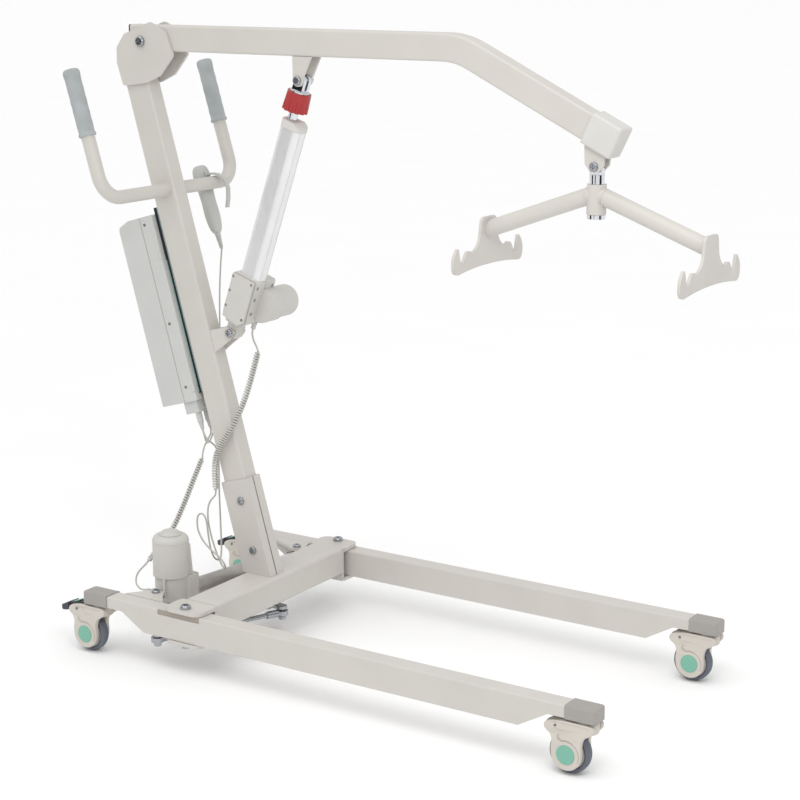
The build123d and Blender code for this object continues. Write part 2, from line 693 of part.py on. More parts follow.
def make_boom_plug():
    height = (BOOM_Z - BOOM_H / 2, BOOM_Z + BOOM_H / 2)
    plug = block((BOOM_REAR - 3, BOOM_REAR), (-BOOM_W / 2, BOOM_W / 2), height)
    core = soft_block((BOOM_REAR, BOOM_REAR + 14), (-16.5, 16.5), (BOOM_Z - 23, BOOM_Z + 23), 4, Axis.X)
    return fillet(plug.edges().filter_by(Axis.X), 4) + core


def make_boom_lugs():
    """Bracket for the lift actuator and the tab for the swivel pin."""
    x, z = UPPER_PIN
    under = BOOM_Z - BOOM_H / 2
    solids = []
    for side in (-1, 1):
        y = sorted((side * 13.6, side * 18.6))
        ear = side_plate([(x - 11, z), (x - 12, under), (x + 33, under), (x + 10, z)], y)
        ear = ear + cross_pin(x, z, y, 12)
        solids.append(ear - cross_pin(x, z, (-40, 40), 5.1))
    hx, hz = HANGER_PIN
    top = slope_point(338, -BOOM_H / 2)
    tab = side_plate([(hx - 19, hz + 4), (hx - 21, top[1] + 16), (hx + 21, top[1] - 4), (hx + 19, hz + 2),
                      (hx + 8, hz - 10), (hx - 8, hz - 10)], (-13.5, 13.5))
    inside = SLOPE * block((0, 500), (-30, 30), (-BOOM_H / 2, 80))
    gap = block((hx - 40, hx + 40), (-7.6, 7.6), (hz - 20, hz + 15.5))
    tab = tab - inside - gap - cross_pin(hx, hz, (-30, 30), 5.1)
    return solids + [tab]


def make_boom_bolts():
    """Two stub bolts at the actuator bracket and the bolt through the tab."""
    x, z = UPPER_PIN
    stubs = []
    for side in (-1, 1):
        y = sorted((side * 13.8, side * 18.6))
        shank = cross_pin(x, z, y, 5.0)
        head = button_head(9, 6) if side < 0 else hex_head(8.5, 7)
        turned = towards_minus_y(head) if side < 0 else towards_plus_y(head)
        stubs.append(shank + Pos(x, side * 18.6, z) * turned)
    hx, hz = HANGER_PIN
    shank = cross_pin(hx, hz, (-13.5, 13.5), 5.0)
    near = Pos(hx, -13.5, hz) * towards_minus_y(button_head(8.5, 5))
    far = Pos(hx, 13.5, hz) * towards_plus_y(hex_head(8.5, 6))
    return stubs + [shank + near + far]


save("boom", make_boom())
save("boom_plug", make_boom_plug())
save("boom_end_cap", make_boom_cap())
save("boom_lugs", *make_boom_lugs())
save("boom_bolts", *make_boom_bolts())

# =====================================================================
# sling bar
# =====================================================================


def make_swivel_pin():
    """Chrome fork-and-pin the sling bar turns on, with its retaining ring."""
    hx, hz = HANGER_PIN
    tongue = block((hx - 12, hx + 12), (-7, 7), (hz - 22, hz)) + cross_pin(hx, hz, (-7, 7), 12)
    tongue = tongue - cross_pin(hx, hz, (-20, 20), 5.06)
    collar = post(hx, 0, (HUB_TOP + 0.4, hz - 15), 14)
    shaft = post(hx, 0, (HUB_BOTTOM - 7, HUB_TOP + 2), 9.0)
    ring = post(hx, 0, (HUB_BOTTOM - 8, HUB_BOTTOM - 0.4), 17)
    return tongue + collar + shaft + ring


def make_hanger_bar():
    hx = HANGER_PIN[0]
    body = post(hx, 0, (HUB_BOTTOM, HUB_TOP), HUB_R)
    fall = ARM_HUB_Z - ARM_END_Z
    reach = PLATE_REACH - PLATE_T / 2
    for s in (-1, 1):
        start = Vector(hx, 0, ARM_HUB_Z)
        end = Vector(hx + s * PLATE_REACH, 0, ARM_END_Z)
        arm_plane = Plane(origin=start, z_dir=end - start)
        arm = extrude(arm_plane * Circle(ARM_R), math.hypot(PLATE_REACH, fall) + 20)
        trim = block((hx - reach, hx + reach), (-40, 40), (800, HUB_TOP + 30))
        body = body + (arm & trim)
    over = block((hx - 60, hx + 60), (-40, 40), (HUB_TOP, HUB_TOP + 60))
    body = body - over - post(hx, 0, (HUB_BOTTOM - 1, HUB_TOP + 1), 9.06)
    return body


def hook_plate_face():
    """Half outline of a sling hook plate, mirrored about its middle."""
    with BuildSketch() as sketch:
        with BuildLine():
            Polyline((0, 853), (0, 943), (16, 943))
            RadiusArc((16, 943), (28, 931), 12)
            Line((28, 931), (32, 908))
            RadiusArc((32, 908), (64, 881), -38)
            ThreePointArc((64, 881), (77, 885.5), (86, 879))
            Line((86, 879), (95, 866))
            ThreePointArc((95, 866), (99.5, 861.5), (104, 866))
            Line((104, 866), (111, 892))
            ThreePointArc((111, 892), (114, 894.5), (117, 892))
            ThreePointArc((117, 892), (127.5, 877), (129, 862))
            ThreePointArc((129, 862), (124, 850), (110, 846))
            ThreePointArc((110, 846), (55, 851.5), (0, 853))
        make_face()
        mirror(about=Plane.YZ)
    return sketch.sketch


def make_hook_plates():
    face = hook_plate_face()
    plates = []
    for s in (-1, 1):
        x = HANGER_PIN[0] + s * PLATE_REACH - PLATE_T / 2
        plane = Plane(origin=(x, 0, 0), x_dir=(0, 1, 0), z_dir=(1, 0, 0))
        plates.append(extrude(plane * face, PLATE_T))
    return plates


save("swivel_pin", make_swivel_pin())
save("hanger_bar", make_hanger_bar())
save("hook_plates", *make_hook_plates())

# =====================================================================
# lift actuator
# =====================================================================

NUT_S = (PIN_TO_PIN - 63.5, PIN_TO_PIN - 24.5)
TUBE_S = (132.0, PIN_TO_PIN - 99.0)
CAP_S = (PIN_TO_PIN - 99.0, PIN_TO_PIN - 83.0)
TUBE_T = (-16.0, 34.0)
TUBE_HALF = 19.0
LIFT_ROD_R = 10.0
MOTOR_ST = (78.0, 40.0)
MOTOR_R = 33.0
MOTOR_END = 104.0


def make_lift_gearbox():
    tongue = Rot(90, 0, 0) * Cylinder(14, 25, align=MID) + block((-14, 14), (-12.5, 12.5), (0, 36))
    tongue = tongue - Rot(90, 0, 0) * Cylinder(5.08, 60, align=MID)
    outline = [(-14, 24), (-26, 46), (-26, 132), (36, 132), (36, 38), (20, 24)]
    housing = side_plate(outline, (-22, 42))
    housing = fillet(housing.edges().filter_by(Axis.Y), 4)
    cover = side_plate([(-22, 34), (-24, 48), (-24, 130), (32, 130), (32, 38), (18, 28)], (-28, -22))
    bore = Pos(0, 0, 120) * Cylinder(LIFT_ROD_R + 1, 40, align=MINZ)
    bulge = Pos(MOTOR_ST[1], 4, MOTOR_ST[0]) * Rot(-90, 0, 0) * Cylinder(MOTOR_R + 3, 38, align=MINZ)
    gland = Pos(22, 30, 27) * Cylinder(5, 14, align=MAXZ)
    return RAM * (housing + cover + tongue + gland + bulge - bore)


def make_lift_motor():
    s, t = MOTOR_ST
    barrel = Pos(t, 42, s) * Rot(-90, 0, 0) * Cylinder(MOTOR_R, MOTOR_END - 42, align=MINZ)
    barrel = fillet(barrel.faces().sort_by(Axis.Y)[-1].edges(), 14)
    return RAM * barrel


def make_lift_tube():
    outer = Pos((TUBE_T[0] + TUBE_T[1]) / 2, 0, TUBE_S[0]) * extrude(
        RectangleRounded(TUBE_T[1] - TUBE_T[0], 2 * TUBE_HALF, 14), TUBE_S[1] - TUBE_S[0])
    bore = Pos(0, 0, TUBE_S[0]) * Cylinder(LIFT_ROD_R + 1, 500, align=MINZ)
    return RAM * (outer - bore)


def make_tube_cap():
    base = Pos((TUBE_T[0] + TUBE_T[1]) / 2, 0, CAP_S[0]) * extrude(
        RectangleRounded(TUBE_T[1] - TUBE_T[0] + 2, 2 * TUBE_HALF + 2, 15), CAP_S[1] - CAP_S[0])
    ramp = side_plate([(16, CAP_S[1] + 1), (60, CAP_S[1] + 1), (60, CAP_S[1] - 24)], (-40, 40))
    bore = Pos(0, 0, CAP_S[0]) * Cylinder(LIFT_ROD_R + 0.4, 60, align=MINZ)
    return RAM * (base - ramp - bore)


def make_lift_rod():
    """Piston with the forked end block that sits inside the boom bracket."""
    rod = Pos(0, 0, TUBE_S[0] + 4) * Cylinder(LIFT_ROD_R, PIN_TO_PIN - TUBE_S[0] - 20, align=MINZ)
    flange = Pos(0, 0, NUT_S[1]) * Cylinder(20, 2.4, align=MINZ)
    block_end = block((-12, 12), (-12.6, 12.6), (NUT_S[1], PIN_TO_PIN)) + Pos(0, 0, PIN_TO_PIN) * (
        Rot(90, 0, 0) * Cylinder(12, 25.2, align=MID))
    slot = block((-14, 14), (-4, 4), (NUT_S[1] + 6, PIN_TO_PIN + 14))
    pin = Pos(0, 0, PIN_TO_PIN) * Rot(90, 0, 0) * Cylinder(5, 25.2, align=MID)
    return RAM * (rod + flange + block_end - slot + pin)


def make_release_nut():
    """Fluted quick-release collar on the rod."""
    height = NUT_S[1] - NUT_S[0] - 0.5
    collar = Cone(26.5, 24.2, height, align=MINZ)
    for i in range(12):
        flute = Rot(0, 0, i * 30) * Pos(28.6, 0, 0) * Cylinder(5, 120)
        collar = collar - flute
    bore = Cylinder(LIFT_ROD_R + 0.1, 200)
    return RAM * Pos(0, 0, NUT_S[0]) * (collar - bore)


save("lift_gearbox", make_lift_gearbox())
save("lift_motor", make_lift_motor())
save("lift_tube", make_lift_tube())
save("lift_tube_cap", make_tube_cap())
save("lift_rod", make_lift_rod())
save("release_nut", make_release_nut())

# =====================================================================
# handset on the handle bar
# =====================================================================

HANDSET_Y = 140.0
HANDSET_LEAN = 18.3
HANDSET_GAP = 27.2        # handset axis behind the bar axis
HANDSET_HALF = 12.5       # half thickness
HANDSET_BUTTONS = (("up", 16.0), ("down", -22.0))
BUTTON_R = 7.0
STRAP_W = 11.0

bar_seat = MAST * Pos(BAR_LOCAL[0], 0, BAR_LOCAL[1])
BAR_X, BAR_Z = bar_seat.position.X, bar_seat.position.Z
back = math.radians(HANDSET_LEAN)
HANDSET = Plane(
    origin=(BAR_X - HANDSET_GAP * math.cos(back), HANDSET_Y, BAR_Z - HANDSET_GAP * math.sin(back)),
    x_dir=(math.cos(back), 0, math.sin(back)),
    z_dir=(-math.sin(back), 0, math.cos(back)),
).location


def make_handset():
    """Hand control: broad head, waisted body and a ribbed strain relief."""
    outline = Polyline((-10, -105), (10, -105), (16, -92), (18, -60), (15, -30), (21, 0), (22, 30),
                       (17, 44), (-17, 44), (-22, 30), (-21, 0), (-15, -30), (-18, -60), (-16, -92),
                       close=True)
    face = fillet(make_face(outline).vertices(), 4)
    plane = Plane(origin=(HANDSET_HALF, 0, 0), x_dir=(0, 1, 0), z_dir=(1, 0, 0))
    body = extrude(plane * face, -2 * HANDSET_HALF)
    body = fillet(body.edges().group_by(Axis.X)[0] + body.edges().group_by(Axis.X)[-1], 3)
    relief = Pos(0, 0, -105 + 0.5) * Cone(4.2, 7.5, 36.5, align=MAXZ)
    for _, height in HANDSET_BUTTONS:
        body = body - Pos(-HANDSET_HALF, 0, height) * Rot(0, 90, 0) * Cylinder(BUTTON_R + 0.3, 12)
    return HANDSET * (body + relief)


def make_handset_hook():
    """Strap over the handle bar that carries the handset."""
    start = (HANDSET * Pos(HANDSET_HALF, 0, 19)).position
    path = FilletPolyline((start.X, HANDSET_Y, start.Z), (BAR_X - 5, HANDSET_Y, BAR_Z + 19.2),
                          (BAR_X + 12, HANDSET_Y, BAR_Z + 18.6), (BAR_X + 30, HANDSET_Y, BAR_Z + 9),
                          (BAR_X + 39, HANDSET_Y, BAR_Z - 9), (BAR_X + 39, HANDSET_Y, BAR_Z - 31),
                          (BAR_X + 36, HANDSET_Y, BAR_Z - 51), radius=9)
    section = Plane(origin=path @ 0, x_dir=(0, 1, 0), z_dir=path % 0) * Rectangle(STRAP_W, 3.4)
    strap = sweep(section, path=path)
    foot = HANDSET * block((HANDSET_HALF, HANDSET_HALF + 3), (-STRAP_W / 2, STRAP_W / 2), (10, 27))
    return strap + foot


def make_handset_button(height):
    cap = Rot(0, -90, 0) * Cylinder(BUTTON_R, 5.5, align=MINZ)
    cap = fillet(cap.edges().group_by(Axis.X)[0], 1)
    return HANDSET * Pos(-HANDSET_HALF + 3.7, 0, height) * cap


save("handset", make_handset())
save("handset_hook", make_handset_hook())
for name, height in HANDSET_BUTTONS:
    save(f"handset_button_{name}", make_handset_button(height))

# =====================================================================
# leads: curly in the middle, plain at the ends
# =====================================================================

LEAD_D = 3.8
HANDSET_LEAD_D = 3.6
LIFT_COIL_D = 14.0
SPREAD_COIL_D = 13.0

EXIT_RUN = 12.0           # straight stretch out of a gland or plug


def route_point(seat, x, y, z):
    point = (seat * Pos(x, y, z)).position
    return (point.X, point.Y, point.Z)


def plug_run(index):
    """Last two points of a lead that goes up into one of the plugs."""
    x, y = PLUGS[index]
    return [route_point(MAST, x, y, PLUG_LOW - EXIT_RUN), route_point(MAST, x, y, PLUG_LOW)]


LIFT_COIL = [(-361.5, 25, 613), (-369.5, 10, 554.5), (-383, -6, 495), (-392, -29, 456),
             (-418, -33, 420), (-434, -33, 390), (-438.5, -32.5, 355), (-436, -32, 315)]
LIFT_UPPER = [route_point(RAM, 22, 30, 13), route_point(RAM, 22, 30, 13 - EXIT_RUN),
              (-374, 28.6, 631.5), (-364.8, 26, 622.5), LIFT_COIL[0]]
LIFT_LOWER = [LIFT_COIL[-1], (-437, -32, 303), (-449, -31, 293), (-459, -31, 277), (-461, -31, 250),
              (-454, -31, 215), (-441, -32, 182), (-429, -34, 160), (-416, -38, 148), (-402, -46, 149),
              (-400, -54, 164), (-414, -53, 176), (-438, -48, 184), (-464, -45, 200), (-479, -43, 222),
              (-483, -40, 243), (-479, -39, 257), (-467, -38, 260), (-459, -37, 246),
              (-456, -37, 218), (-453, -35, 188), (-451, -27, 162),
              (-450, -12, 150), (-454, 4, 152), (-462, 16, 172), (-470, 25, 208),
              (-475, 30, 250), (-478, 32, 295), (-477, 32, 340), (-474, 27, 372), (-470, 15, 394),
              (-469, 2, 405), (-473, -9, 414), *plug_run(0)]
SPREAD_COIL = [(-485.5, -14, 374), (-491.5, -30, 341), (-496, -47, 308), (-502, -63, 275), (-508, -81, 242),
               (-521, -95, 212), (-539, -107, 184), (-557, -116, 159)]
SPREAD_UPPER = [*reversed(plug_run(1)), (-482.5, 4, 413), (-486.5, -4, 399),
                (-486.5, -10.5, 385), SPREAD_COIL[0]]
SPREAD_LOWER = [SPREAD_COIL[-1], (-563, -119, 150), (-572, -125, 140), (-578, -133, 126), (-572, -141, 112),
                (-556, -147, 105), (-539, -151, 107), route_point(SPREADER, -56 - EXIT_RUN, 0, 42),
                route_point(SPREADER, -56, 0, 42)]
HANDSET_ROUTE = [route_point(HANDSET, 0, 0, -141), (-545, 140, 775), (-549, 140, 728),
                 (-551, 140, 680), (-551, 139, 632), (-549, 135, 585), (-545, 127, 540),
                 (-538, 113, 497), (-528, 94, 457), (-517, 71, 424), (-507, 47, 402),
                 (-499, 25, 396), (-493, 10, 403), *plug_run(2)]


def corner_radii(route):
    """Arc radius for each corner of a route, from its runs and its turn."""
    radii = []
    for before, at, after in zip(route, route[1:], route[2:]):
        arrive = Vector(*at) - Vector(*before)
        leave = Vector(*after) - Vector(*at)
        half_turn = math.radians(arrive.get_angle(leave) / 2)
        radii.append(min(0.45 * min(arrive.length, leave.length) / math.tan(half_turn), 900.0))
    return radii


def make_lead(name, route, diameter):
    """Round lead along a route of straight runs joined by arcs."""
    radii = corner_radii(route)
    path = FilletPolyline(*route, radius=radii)
    print(f"{name}: length {path.length:.0f}, radii", [round(r) for r in radii])
    return sweep(Plane(origin=path @ 0, z_dir=path % 0) * Circle(diameter / 2), path=path)


save("lift_lead", make_lead("lift lead, upper", LIFT_UPPER, LEAD_D),
     make_lead("lift lead", LIFT_LOWER, LEAD_D))
save("lift_lead_coil", make_lead("lift coil", LIFT_COIL, LIFT_COIL_D))
save("spreader_lead", make_lead("spreader lead, upper", SPREAD_UPPER, LEAD_D),
     make_lead("spreader lead", SPREAD_LOWER, LEAD_D))
save("spreader_lead_coil", make_lead("spreader coil", SPREAD_COIL, SPREAD_COIL_D))
save("handset_lead", make_lead("handset lead", HANDSET_ROUTE, HANDSET_LEAD_D))
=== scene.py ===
import math

import bpy
from mathutils import Matrix, Vector


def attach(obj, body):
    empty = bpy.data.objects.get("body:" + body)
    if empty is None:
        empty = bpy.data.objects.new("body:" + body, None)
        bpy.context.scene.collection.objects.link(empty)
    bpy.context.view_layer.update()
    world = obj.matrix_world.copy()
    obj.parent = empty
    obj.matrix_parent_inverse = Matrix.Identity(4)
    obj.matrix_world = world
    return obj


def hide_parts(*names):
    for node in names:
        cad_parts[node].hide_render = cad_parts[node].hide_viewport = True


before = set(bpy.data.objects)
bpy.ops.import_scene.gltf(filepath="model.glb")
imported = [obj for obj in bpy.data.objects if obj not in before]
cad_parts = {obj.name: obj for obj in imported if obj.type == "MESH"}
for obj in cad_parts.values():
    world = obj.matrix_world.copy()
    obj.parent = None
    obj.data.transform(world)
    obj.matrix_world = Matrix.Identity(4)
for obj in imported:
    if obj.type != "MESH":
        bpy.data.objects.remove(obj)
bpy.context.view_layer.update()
MM = 0.001
TO_MIDDLE = Vector((17.3, 0, 0))   # the places below are from the middle of the legs

# ---- camera: the photograph's viewing angle ----
AZIMUTH, ELEVATION, ROLL = 32.70, 13.30, 0.077
CAMERA_AT = (1.9989, -3.0754, 1.4258)
LENS = 85.27

# ---- places in the row frame, millimetres, as the CAD has them ----
LEAN = math.radians(16.1)
MAST_FOOT = Vector((-337.5, 0, 142))
BAR_LOCAL = (8.0, 831.0)
ARM_SPAN = 212.0
ARM_REACH = 262.0
ARM_BACK = math.radians(17.0)
LOWER_PIN = Vector((-402, 0, 655))
UPPER_PIN = Vector((-221, 0, 1180))
HANGER_X = 430
TRACK_HALF = 264.0
LEG_HALF = 20.0
REAR_STEM_X, FRONT_STEM_X, TRAIL = -561.0, 569.0, 29.0
WHEEL_R = 40.0


def camera():
    cam = bpy.data.objects.new("camera", bpy.data.cameras.new("camera"))
    bpy.context.collection.objects.link(cam)
    a, e = math.radians(AZIMUTH), math.radians(ELEVATION)
    back = Vector((math.sin(a) * math.cos(e), -math.cos(a) * math.cos(e), math.sin(e)))
    cam.rotation_mode = "QUATERNION"
    turn = (-back).to_track_quat("-Z", "Y")
    cam.rotation_quaternion = turn @ Matrix.Rotation(math.radians(ROLL), 4, "Z").to_quaternion()
    cam.location = CAMERA_AT
    cam.data.lens = LENS
    cam.data.sensor_width = 36.0
    bpy.context.scene.camera = cam


camera()

# =====================================================================
# materials
# =====================================================================


def linear(red, green, blue):
    """sRGB bytes as a linear colour."""
    channels = []
    for byte in (red, green, blue):
        c = byte / 255
        channels.append(c / 12.92 if c <= 0.04045 else ((c + 0.055) / 1.055) ** 2.4)
    return (*channels, 1.0)


def scaled(colour, factor):
    return tuple(min(1.0, c * factor) for c in colour[:3]) + (1.0,)


NOISE_LOW, NOISE_HIGH = 0.3, 0.7   # where nearly all of a noise texture's values lie


class Finish:
    """Small builder around one Principled material."""

    def __init__(self, name):
        self.material = bpy.data.materials.new(name)
        self.material.use_nodes = True
        self.tree = self.material.node_tree
        self.shader = self.tree.nodes["Principled BSDF"]
        self.coords = self.node("ShaderNodeTexCoord").outputs["Object"]
        self.normal = None

    def node(self, kind, **values):
        made = self.tree.nodes.new(kind)
        for key, value in values.items():
            setattr(made, key, value)
        return made

    def link(self, source, target):
        self.tree.links.new(source, target)

    def set(self, **sockets):
        for name, value in sockets.items():
            self.shader.inputs[name.replace("_", " ")].default_value = value
        return self

    def noise(self, scale, detail=4.0, stretch=None):
        made = self.node("ShaderNodeTexNoise")
        made.inputs["Scale"].default_value = scale
        made.inputs["Detail"].default_value = detail
        vector = self.coords
        if stretch:
            mapping = self.node("ShaderNodeMapping")
            mapping.inputs["Scale"].default_value = stretch
            self.link(vector, mapping.inputs["Vector"])
            vector = mapping.outputs["Vector"]
        self.link(vector, made.inputs["Vector"])
        return made.outputs["Fac"]

    def spread(self, value, low, high):
        made = self.node("ShaderNodeMapRange")
        made.inputs["From Min"].default_value = NOISE_LOW
        made.inputs["From Max"].default_value = NOISE_HIGH
        made.inputs["To Min"].default_value = low
        made.inputs["To Max"].default_value = high
        self.link(value, made.inputs["Value"])
        return made.outputs["Result"]

    def colour(self, dark, light, value):
        mix = self.node("ShaderNodeMix", data_type="RGBA")
        mix.inputs["A"].default_value = dark
        mix.inputs["B"].default_value = light
        self.link(self.spread(value, 0.0, 1.0), mix.inputs["Factor"])
        self.link(mix.outputs["Result"], self.shader.inputs["Base Color"])
        return self

    def roughness(self, value, low, high):
        self.link(self.spread(value, low, high), self.shader.inputs["Roughness"])
        return self

    def soft_edges(self, radius):
        bevel = self.node("ShaderNodeBevel", samples=4)
        bevel.inputs["Radius"].default_value = radius
        self.normal = bevel.outputs["Normal"]
        return self

    def bump(self, value, depth, strength=1.0):
        made = self.node("ShaderNodeBump")
        made.inputs["Distance"].default_value = depth
        made.inputs["Strength"].default_value = strength
        self.link(value, made.inputs["Height"])
        if self.normal is not None:
            self.link(self.normal, made.inputs["Normal"])
        self.normal = made.outputs["Normal"]
        return self

    def done(self):
        if self.normal is not None:
            self.link(self.normal, self.shader.inputs["Normal"])
        return self.material


def powder_coat(name, colour, edge=0.8 * MM):
    """Satin powder coat: orange peel, faint cloudiness."""
    f = Finish(name).set(Specular_IOR_Level=0.45)
    f.colour(scaled(colour, 0.965), scaled(colour, 1.02), f.noise(9.0, 3.0))
    f.roughness(f.noise(60.0), 0.34, 0.44)
    f.soft_edges(edge)
    f.bump(f.noise(900.0, 2.0), 0.00010, 0.5)
    return f.done()


def moulded(name, colour, rough=(0.42, 0.55), grain=0.00008, edge=0.9 * MM, scale=1500.0):
    """Injection moulded plastic with a fine spark-eroded grain."""
    f = Finish(name).set(Specular_IOR_Level=0.42)
    f.colour(scaled(colour, 0.97), scaled(colour, 1.02), f.noise(14.0, 3.0))
    f.roughness(f.noise(120.0), *rough)
    f.soft_edges(edge)
    f.bump(f.noise(scale, 2.0), grain, 0.6)
    return f.done()


def rubber(name, colour):
    f = Finish(name).set(Specular_IOR_Level=0.3)
    f.colour(scaled(colour, 0.88), scaled(colour, 1.08), f.noise(35.0, 5.0))
    f.roughness(f.noise(200.0), 0.55, 0.75)
    f.bump(f.noise(1100.0, 3.0), 0.00012, 0.5)
    return f.done()


def plated(name, colour, rough, edge=0.5 * MM):
    """Zinc or chrome plate with fine handling marks."""
    f = Finish(name).set(Metallic=1.0)
    f.colour(scaled(colour, 0.9), colour, f.noise(50.0, 4.0))
    f.roughness(f.noise(300.0, 4.0), *rough)
    f.soft_edges(edge)
    f.bump(f.noise(700.0, 2.0), 0.00003, 0.3)
    return f.done()


def anodised(name, colour):
    """Satin anodised extrusion with die lines along its length."""
    f = Finish(name).set(Metallic=0.55)
    f.colour(scaled(colour, 0.95), colour, f.noise(30.0, 3.0))
    f.roughness(f.noise(260.0, 2.0, stretch=(1.0, 1.0, 0.04)), 0.30, 0.42)
    f.soft_edges(0.6 * MM)
    f.bump(f.noise(1800.0, 1.0, stretch=(1.0, 1.0, 0.02)), 0.00004, 0.4)
    return f.done()


PAINT = powder_coat("frame_paint", linear(201, 197, 191))
CAP = moulded("cap_plastic", linear(158, 154, 150), edge=2.4 * MM)
BOOM_CAP = moulded("boom_cap_plastic", linear(205, 203, 199))
IVORY = moulded("caster_plastic", linear(203, 197, 188))
MINT = moulded("mint_plastic", linear(122, 180, 160), rough=(0.35, 0.45))
TYRE = rubber("tyre_rubber", linear(104, 108, 118))
GRIP = rubber("grip_rubber", linear(166, 171, 172))
DARK = moulded("dark_plastic_and_gap_shade", linear(66, 68, 74))
BLACK = moulded("black_plastic", linear(28, 28, 30))
RED = moulded("red_plastic", linear(168, 48, 48), rough=(0.25, 0.35))
BOX = moulded("box_plastic", linear(197, 198, 195))
DRIVE = moulded("drive_plastic", linear(198, 196, 190))
HANDSET = moulded("handset_plastic", linear(190, 191, 188))
SHEATH = moulded("lead_sheath", linear(192, 190, 184), rough=(0.40, 0.50), grain=0.00003)
ZINC = plated("zinc_steel", linear(172, 175, 180), (0.20, 0.34))
CHROME = plated("chrome_steel", linear(226, 228, 232), (0.05, 0.12))
ALUMINIUM = anodised("bare_aluminium", linear(232, 232, 232))
RAIL = anodised("rail_metal", linear(70, 70, 74))
# painted shade: darker lines standing for the shade in seams, gaps and grooves
LINE_SHADE = moulded("painted_line_shade", linear(150, 142, 132))
# painted highlight: light teal strips along the edges of the dark rail
RAIL_HIGHLIGHT = moulded("teal_rail_highlight", linear(150, 190, 184), rough=(0.3, 0.4))
SHADE = moulded("recess_shade", linear(160, 150, 141))
DULL = plated("dull_steel", linear(186, 182, 177), (0.36, 0.50))
SCREW = plated("screw_steel", linear(120, 122, 128), (0.3, 0.45), edge=0.2 * MM)

NODE_FINISH = {
    PAINT: ("crossbeam", "mast", "mast_socket", "mast_yoke", "handle_bar", "actuator_bracket", "leg_near",
            "leg_far", "boom", "boom_lugs", "hanger_bar", "hook_plates"),
    ZINC: ("socket_bolts", "frame_pins", "leg_pins_near", "leg_pins_far", "leg_pivot_bolts",
           "equaliser_crank", "tie_rod_near", "tie_rod_far", "boom_bolts"),
    CHROME: ("swivel_pin", "lift_rod", "spreader_rod"),
    CAP: ("leg_caps_near", "leg_caps_far"),
    BOOM_CAP: ("boom_end_cap", "lift_tube_cap"),
    BLACK: ("boom_plug",),
    DARK: ("brake_pedal_rear_near", "brake_pedal_rear_far"),
    RAIL: ("mounting_rail",),
    BOX: ("control_box_base", "control_box_cover", "lead_sockets"),
    HANDSET: ("handset_hook",),
    MINT: ("handset_button_up", "handset_button_down"),
    RED: ("emergency_button", "release_nut"),
    DRIVE: ("lift_gearbox", "lift_motor", "spreader_drive"),
    ALUMINIUM: ("lift_tube",),
    DULL: ("spreader_tube",),
}


def dress_nodes():
    """Give every CAD node that stays its finish."""
    for finish, names in NODE_FINISH.items():
        for name in names:
            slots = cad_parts[name].material_slots
            for entry in slots:
                entry.link = "OBJECT"
                entry.material = finish


dress_nodes()

# =====================================================================
# helpers for pieces
# =====================================================================


def metres(point):
    return (Vector(point) + TO_MIDDLE) * MM


def place(name, mesh, body, finish, smooth_angle=35.0):
    """Link a mesh as a piece that rides on a body."""
    obj = bpy.data.objects.new(name, mesh)
    bpy.context.collection.objects.link(obj)
    obj.data.materials.append(finish)
    obj.data.shade_smooth()
    obj.data.set_sharp_from_angle(angle=math.radians(smooth_angle))
    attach(obj, body)
    return obj


def turned_mesh(name, profile, origin, axis, segments=96, closed=False):
    """Turn a profile of (radius, height) pairs, in millimetres, about an axis."""
    turn = Vector((0, 0, 1)).rotation_difference(Vector(axis)).to_matrix()
    verts, faces, rings = [], [], []
    for radius, height in profile:
        ring = []
        count = 1 if radius < 1e-6 else segments
        for i in range(count):
            a = 2 * math.pi * i / segments
            local = Vector((radius * math.cos(a), radius * math.sin(a), height))
            ring.append(len(verts))
            verts.append(metres(turn @ local + Vector(origin)))
        rings.append(ring)
    pairs = list(zip(rings, rings[1:]))
    if closed:
        pairs.append((rings[-1], rings[0]))
    for low, high in pairs:
        for i in range(segments):
            j = (i + 1) % segments
            if len(low) == 1:
                faces.append((low[0], high[j], high[i]))
            elif len(high) == 1:
                faces.append((low[i], low[j], high[0]))
            else:
                faces.append((low[i], low[j], high[j], high[i]))
    mesh = bpy.data.meshes.new(name)
    mesh.from_pydata(verts, [], faces)
    mesh.update()
    return mesh


def rounded(points, radius, steps=5):
    """Round the inner corners of a profile with small arcs."""
    out = [points[0]]
    for before, at, after in zip(points, points[1:], points[2:]):
        b, p, a = Vector(before), Vector(at), Vector(after)
        cut = min(radius, 0.45 * (b - p).length, 0.45 * (a - p).length)
        start, end = p + (b - p).normalized() * cut, p + (a - p).normalized() * cut
        for k in range(steps + 1):
            t = k / steps
            out.append(tuple(start * (1 - t) ** 2 + p * 2 * t * (1 - t) + end * t ** 2))
    out.append(points[-1])
    return out


def smooth_loop(points, steps=6):
    """Closed Catmull-Rom curve through 2D points."""
    out, n = [], len(points)
    for i in range(n):
        p0, p1, p2, p3 = (Vector(points[(i + k - 1) % n]) for k in range(4))
        for k in range(steps):
            t = k / steps
            out.append(0.5 * (2 * p1 + (p2 - p0) * t + (2 * p0 - 5 * p1 + 4 * p2 - p3) * t ** 2
                              + (3 * p1 - p0 - 3 * p2 + p3) * t ** 3))
    return out


def soft_plate(name, outline, span, soft, to_world):
    """Flat plate from a 2D outline, softened at its rims, mapped into place by to_world(u, v, w)."""
    data = bpy.data.curves.new(name, "CURVE")
    data.dimensions = "2D"
    data.fill_mode = "BOTH"
    spline = data.splines.new("POLY")
    spline.points.add(len(outline) - 1)
    for slot, point in zip(spline.points, outline):
        slot.co = (point[0], point[1], 0, 1)
    spline.use_cyclic_u = True
    half = (span[1] - span[0]) / 2
    data.extrude = half - soft
    data.bevel_depth = soft
    data.bevel_resolution = 3
    data.offset = -soft
    guide = bpy.data.objects.new("guide", data)
    bpy.context.collection.objects.link(guide)
    bpy.context.view_layer.update()
    mesh = bpy.data.meshes.new_from_object(guide)
    bpy.data.objects.remove(guide)
    middle = (span[0] + span[1]) / 2
    for vertex in mesh.vertices:
        u, v, w = vertex.co
        vertex.co = metres(to_world(u, v, w + middle))
    return mesh


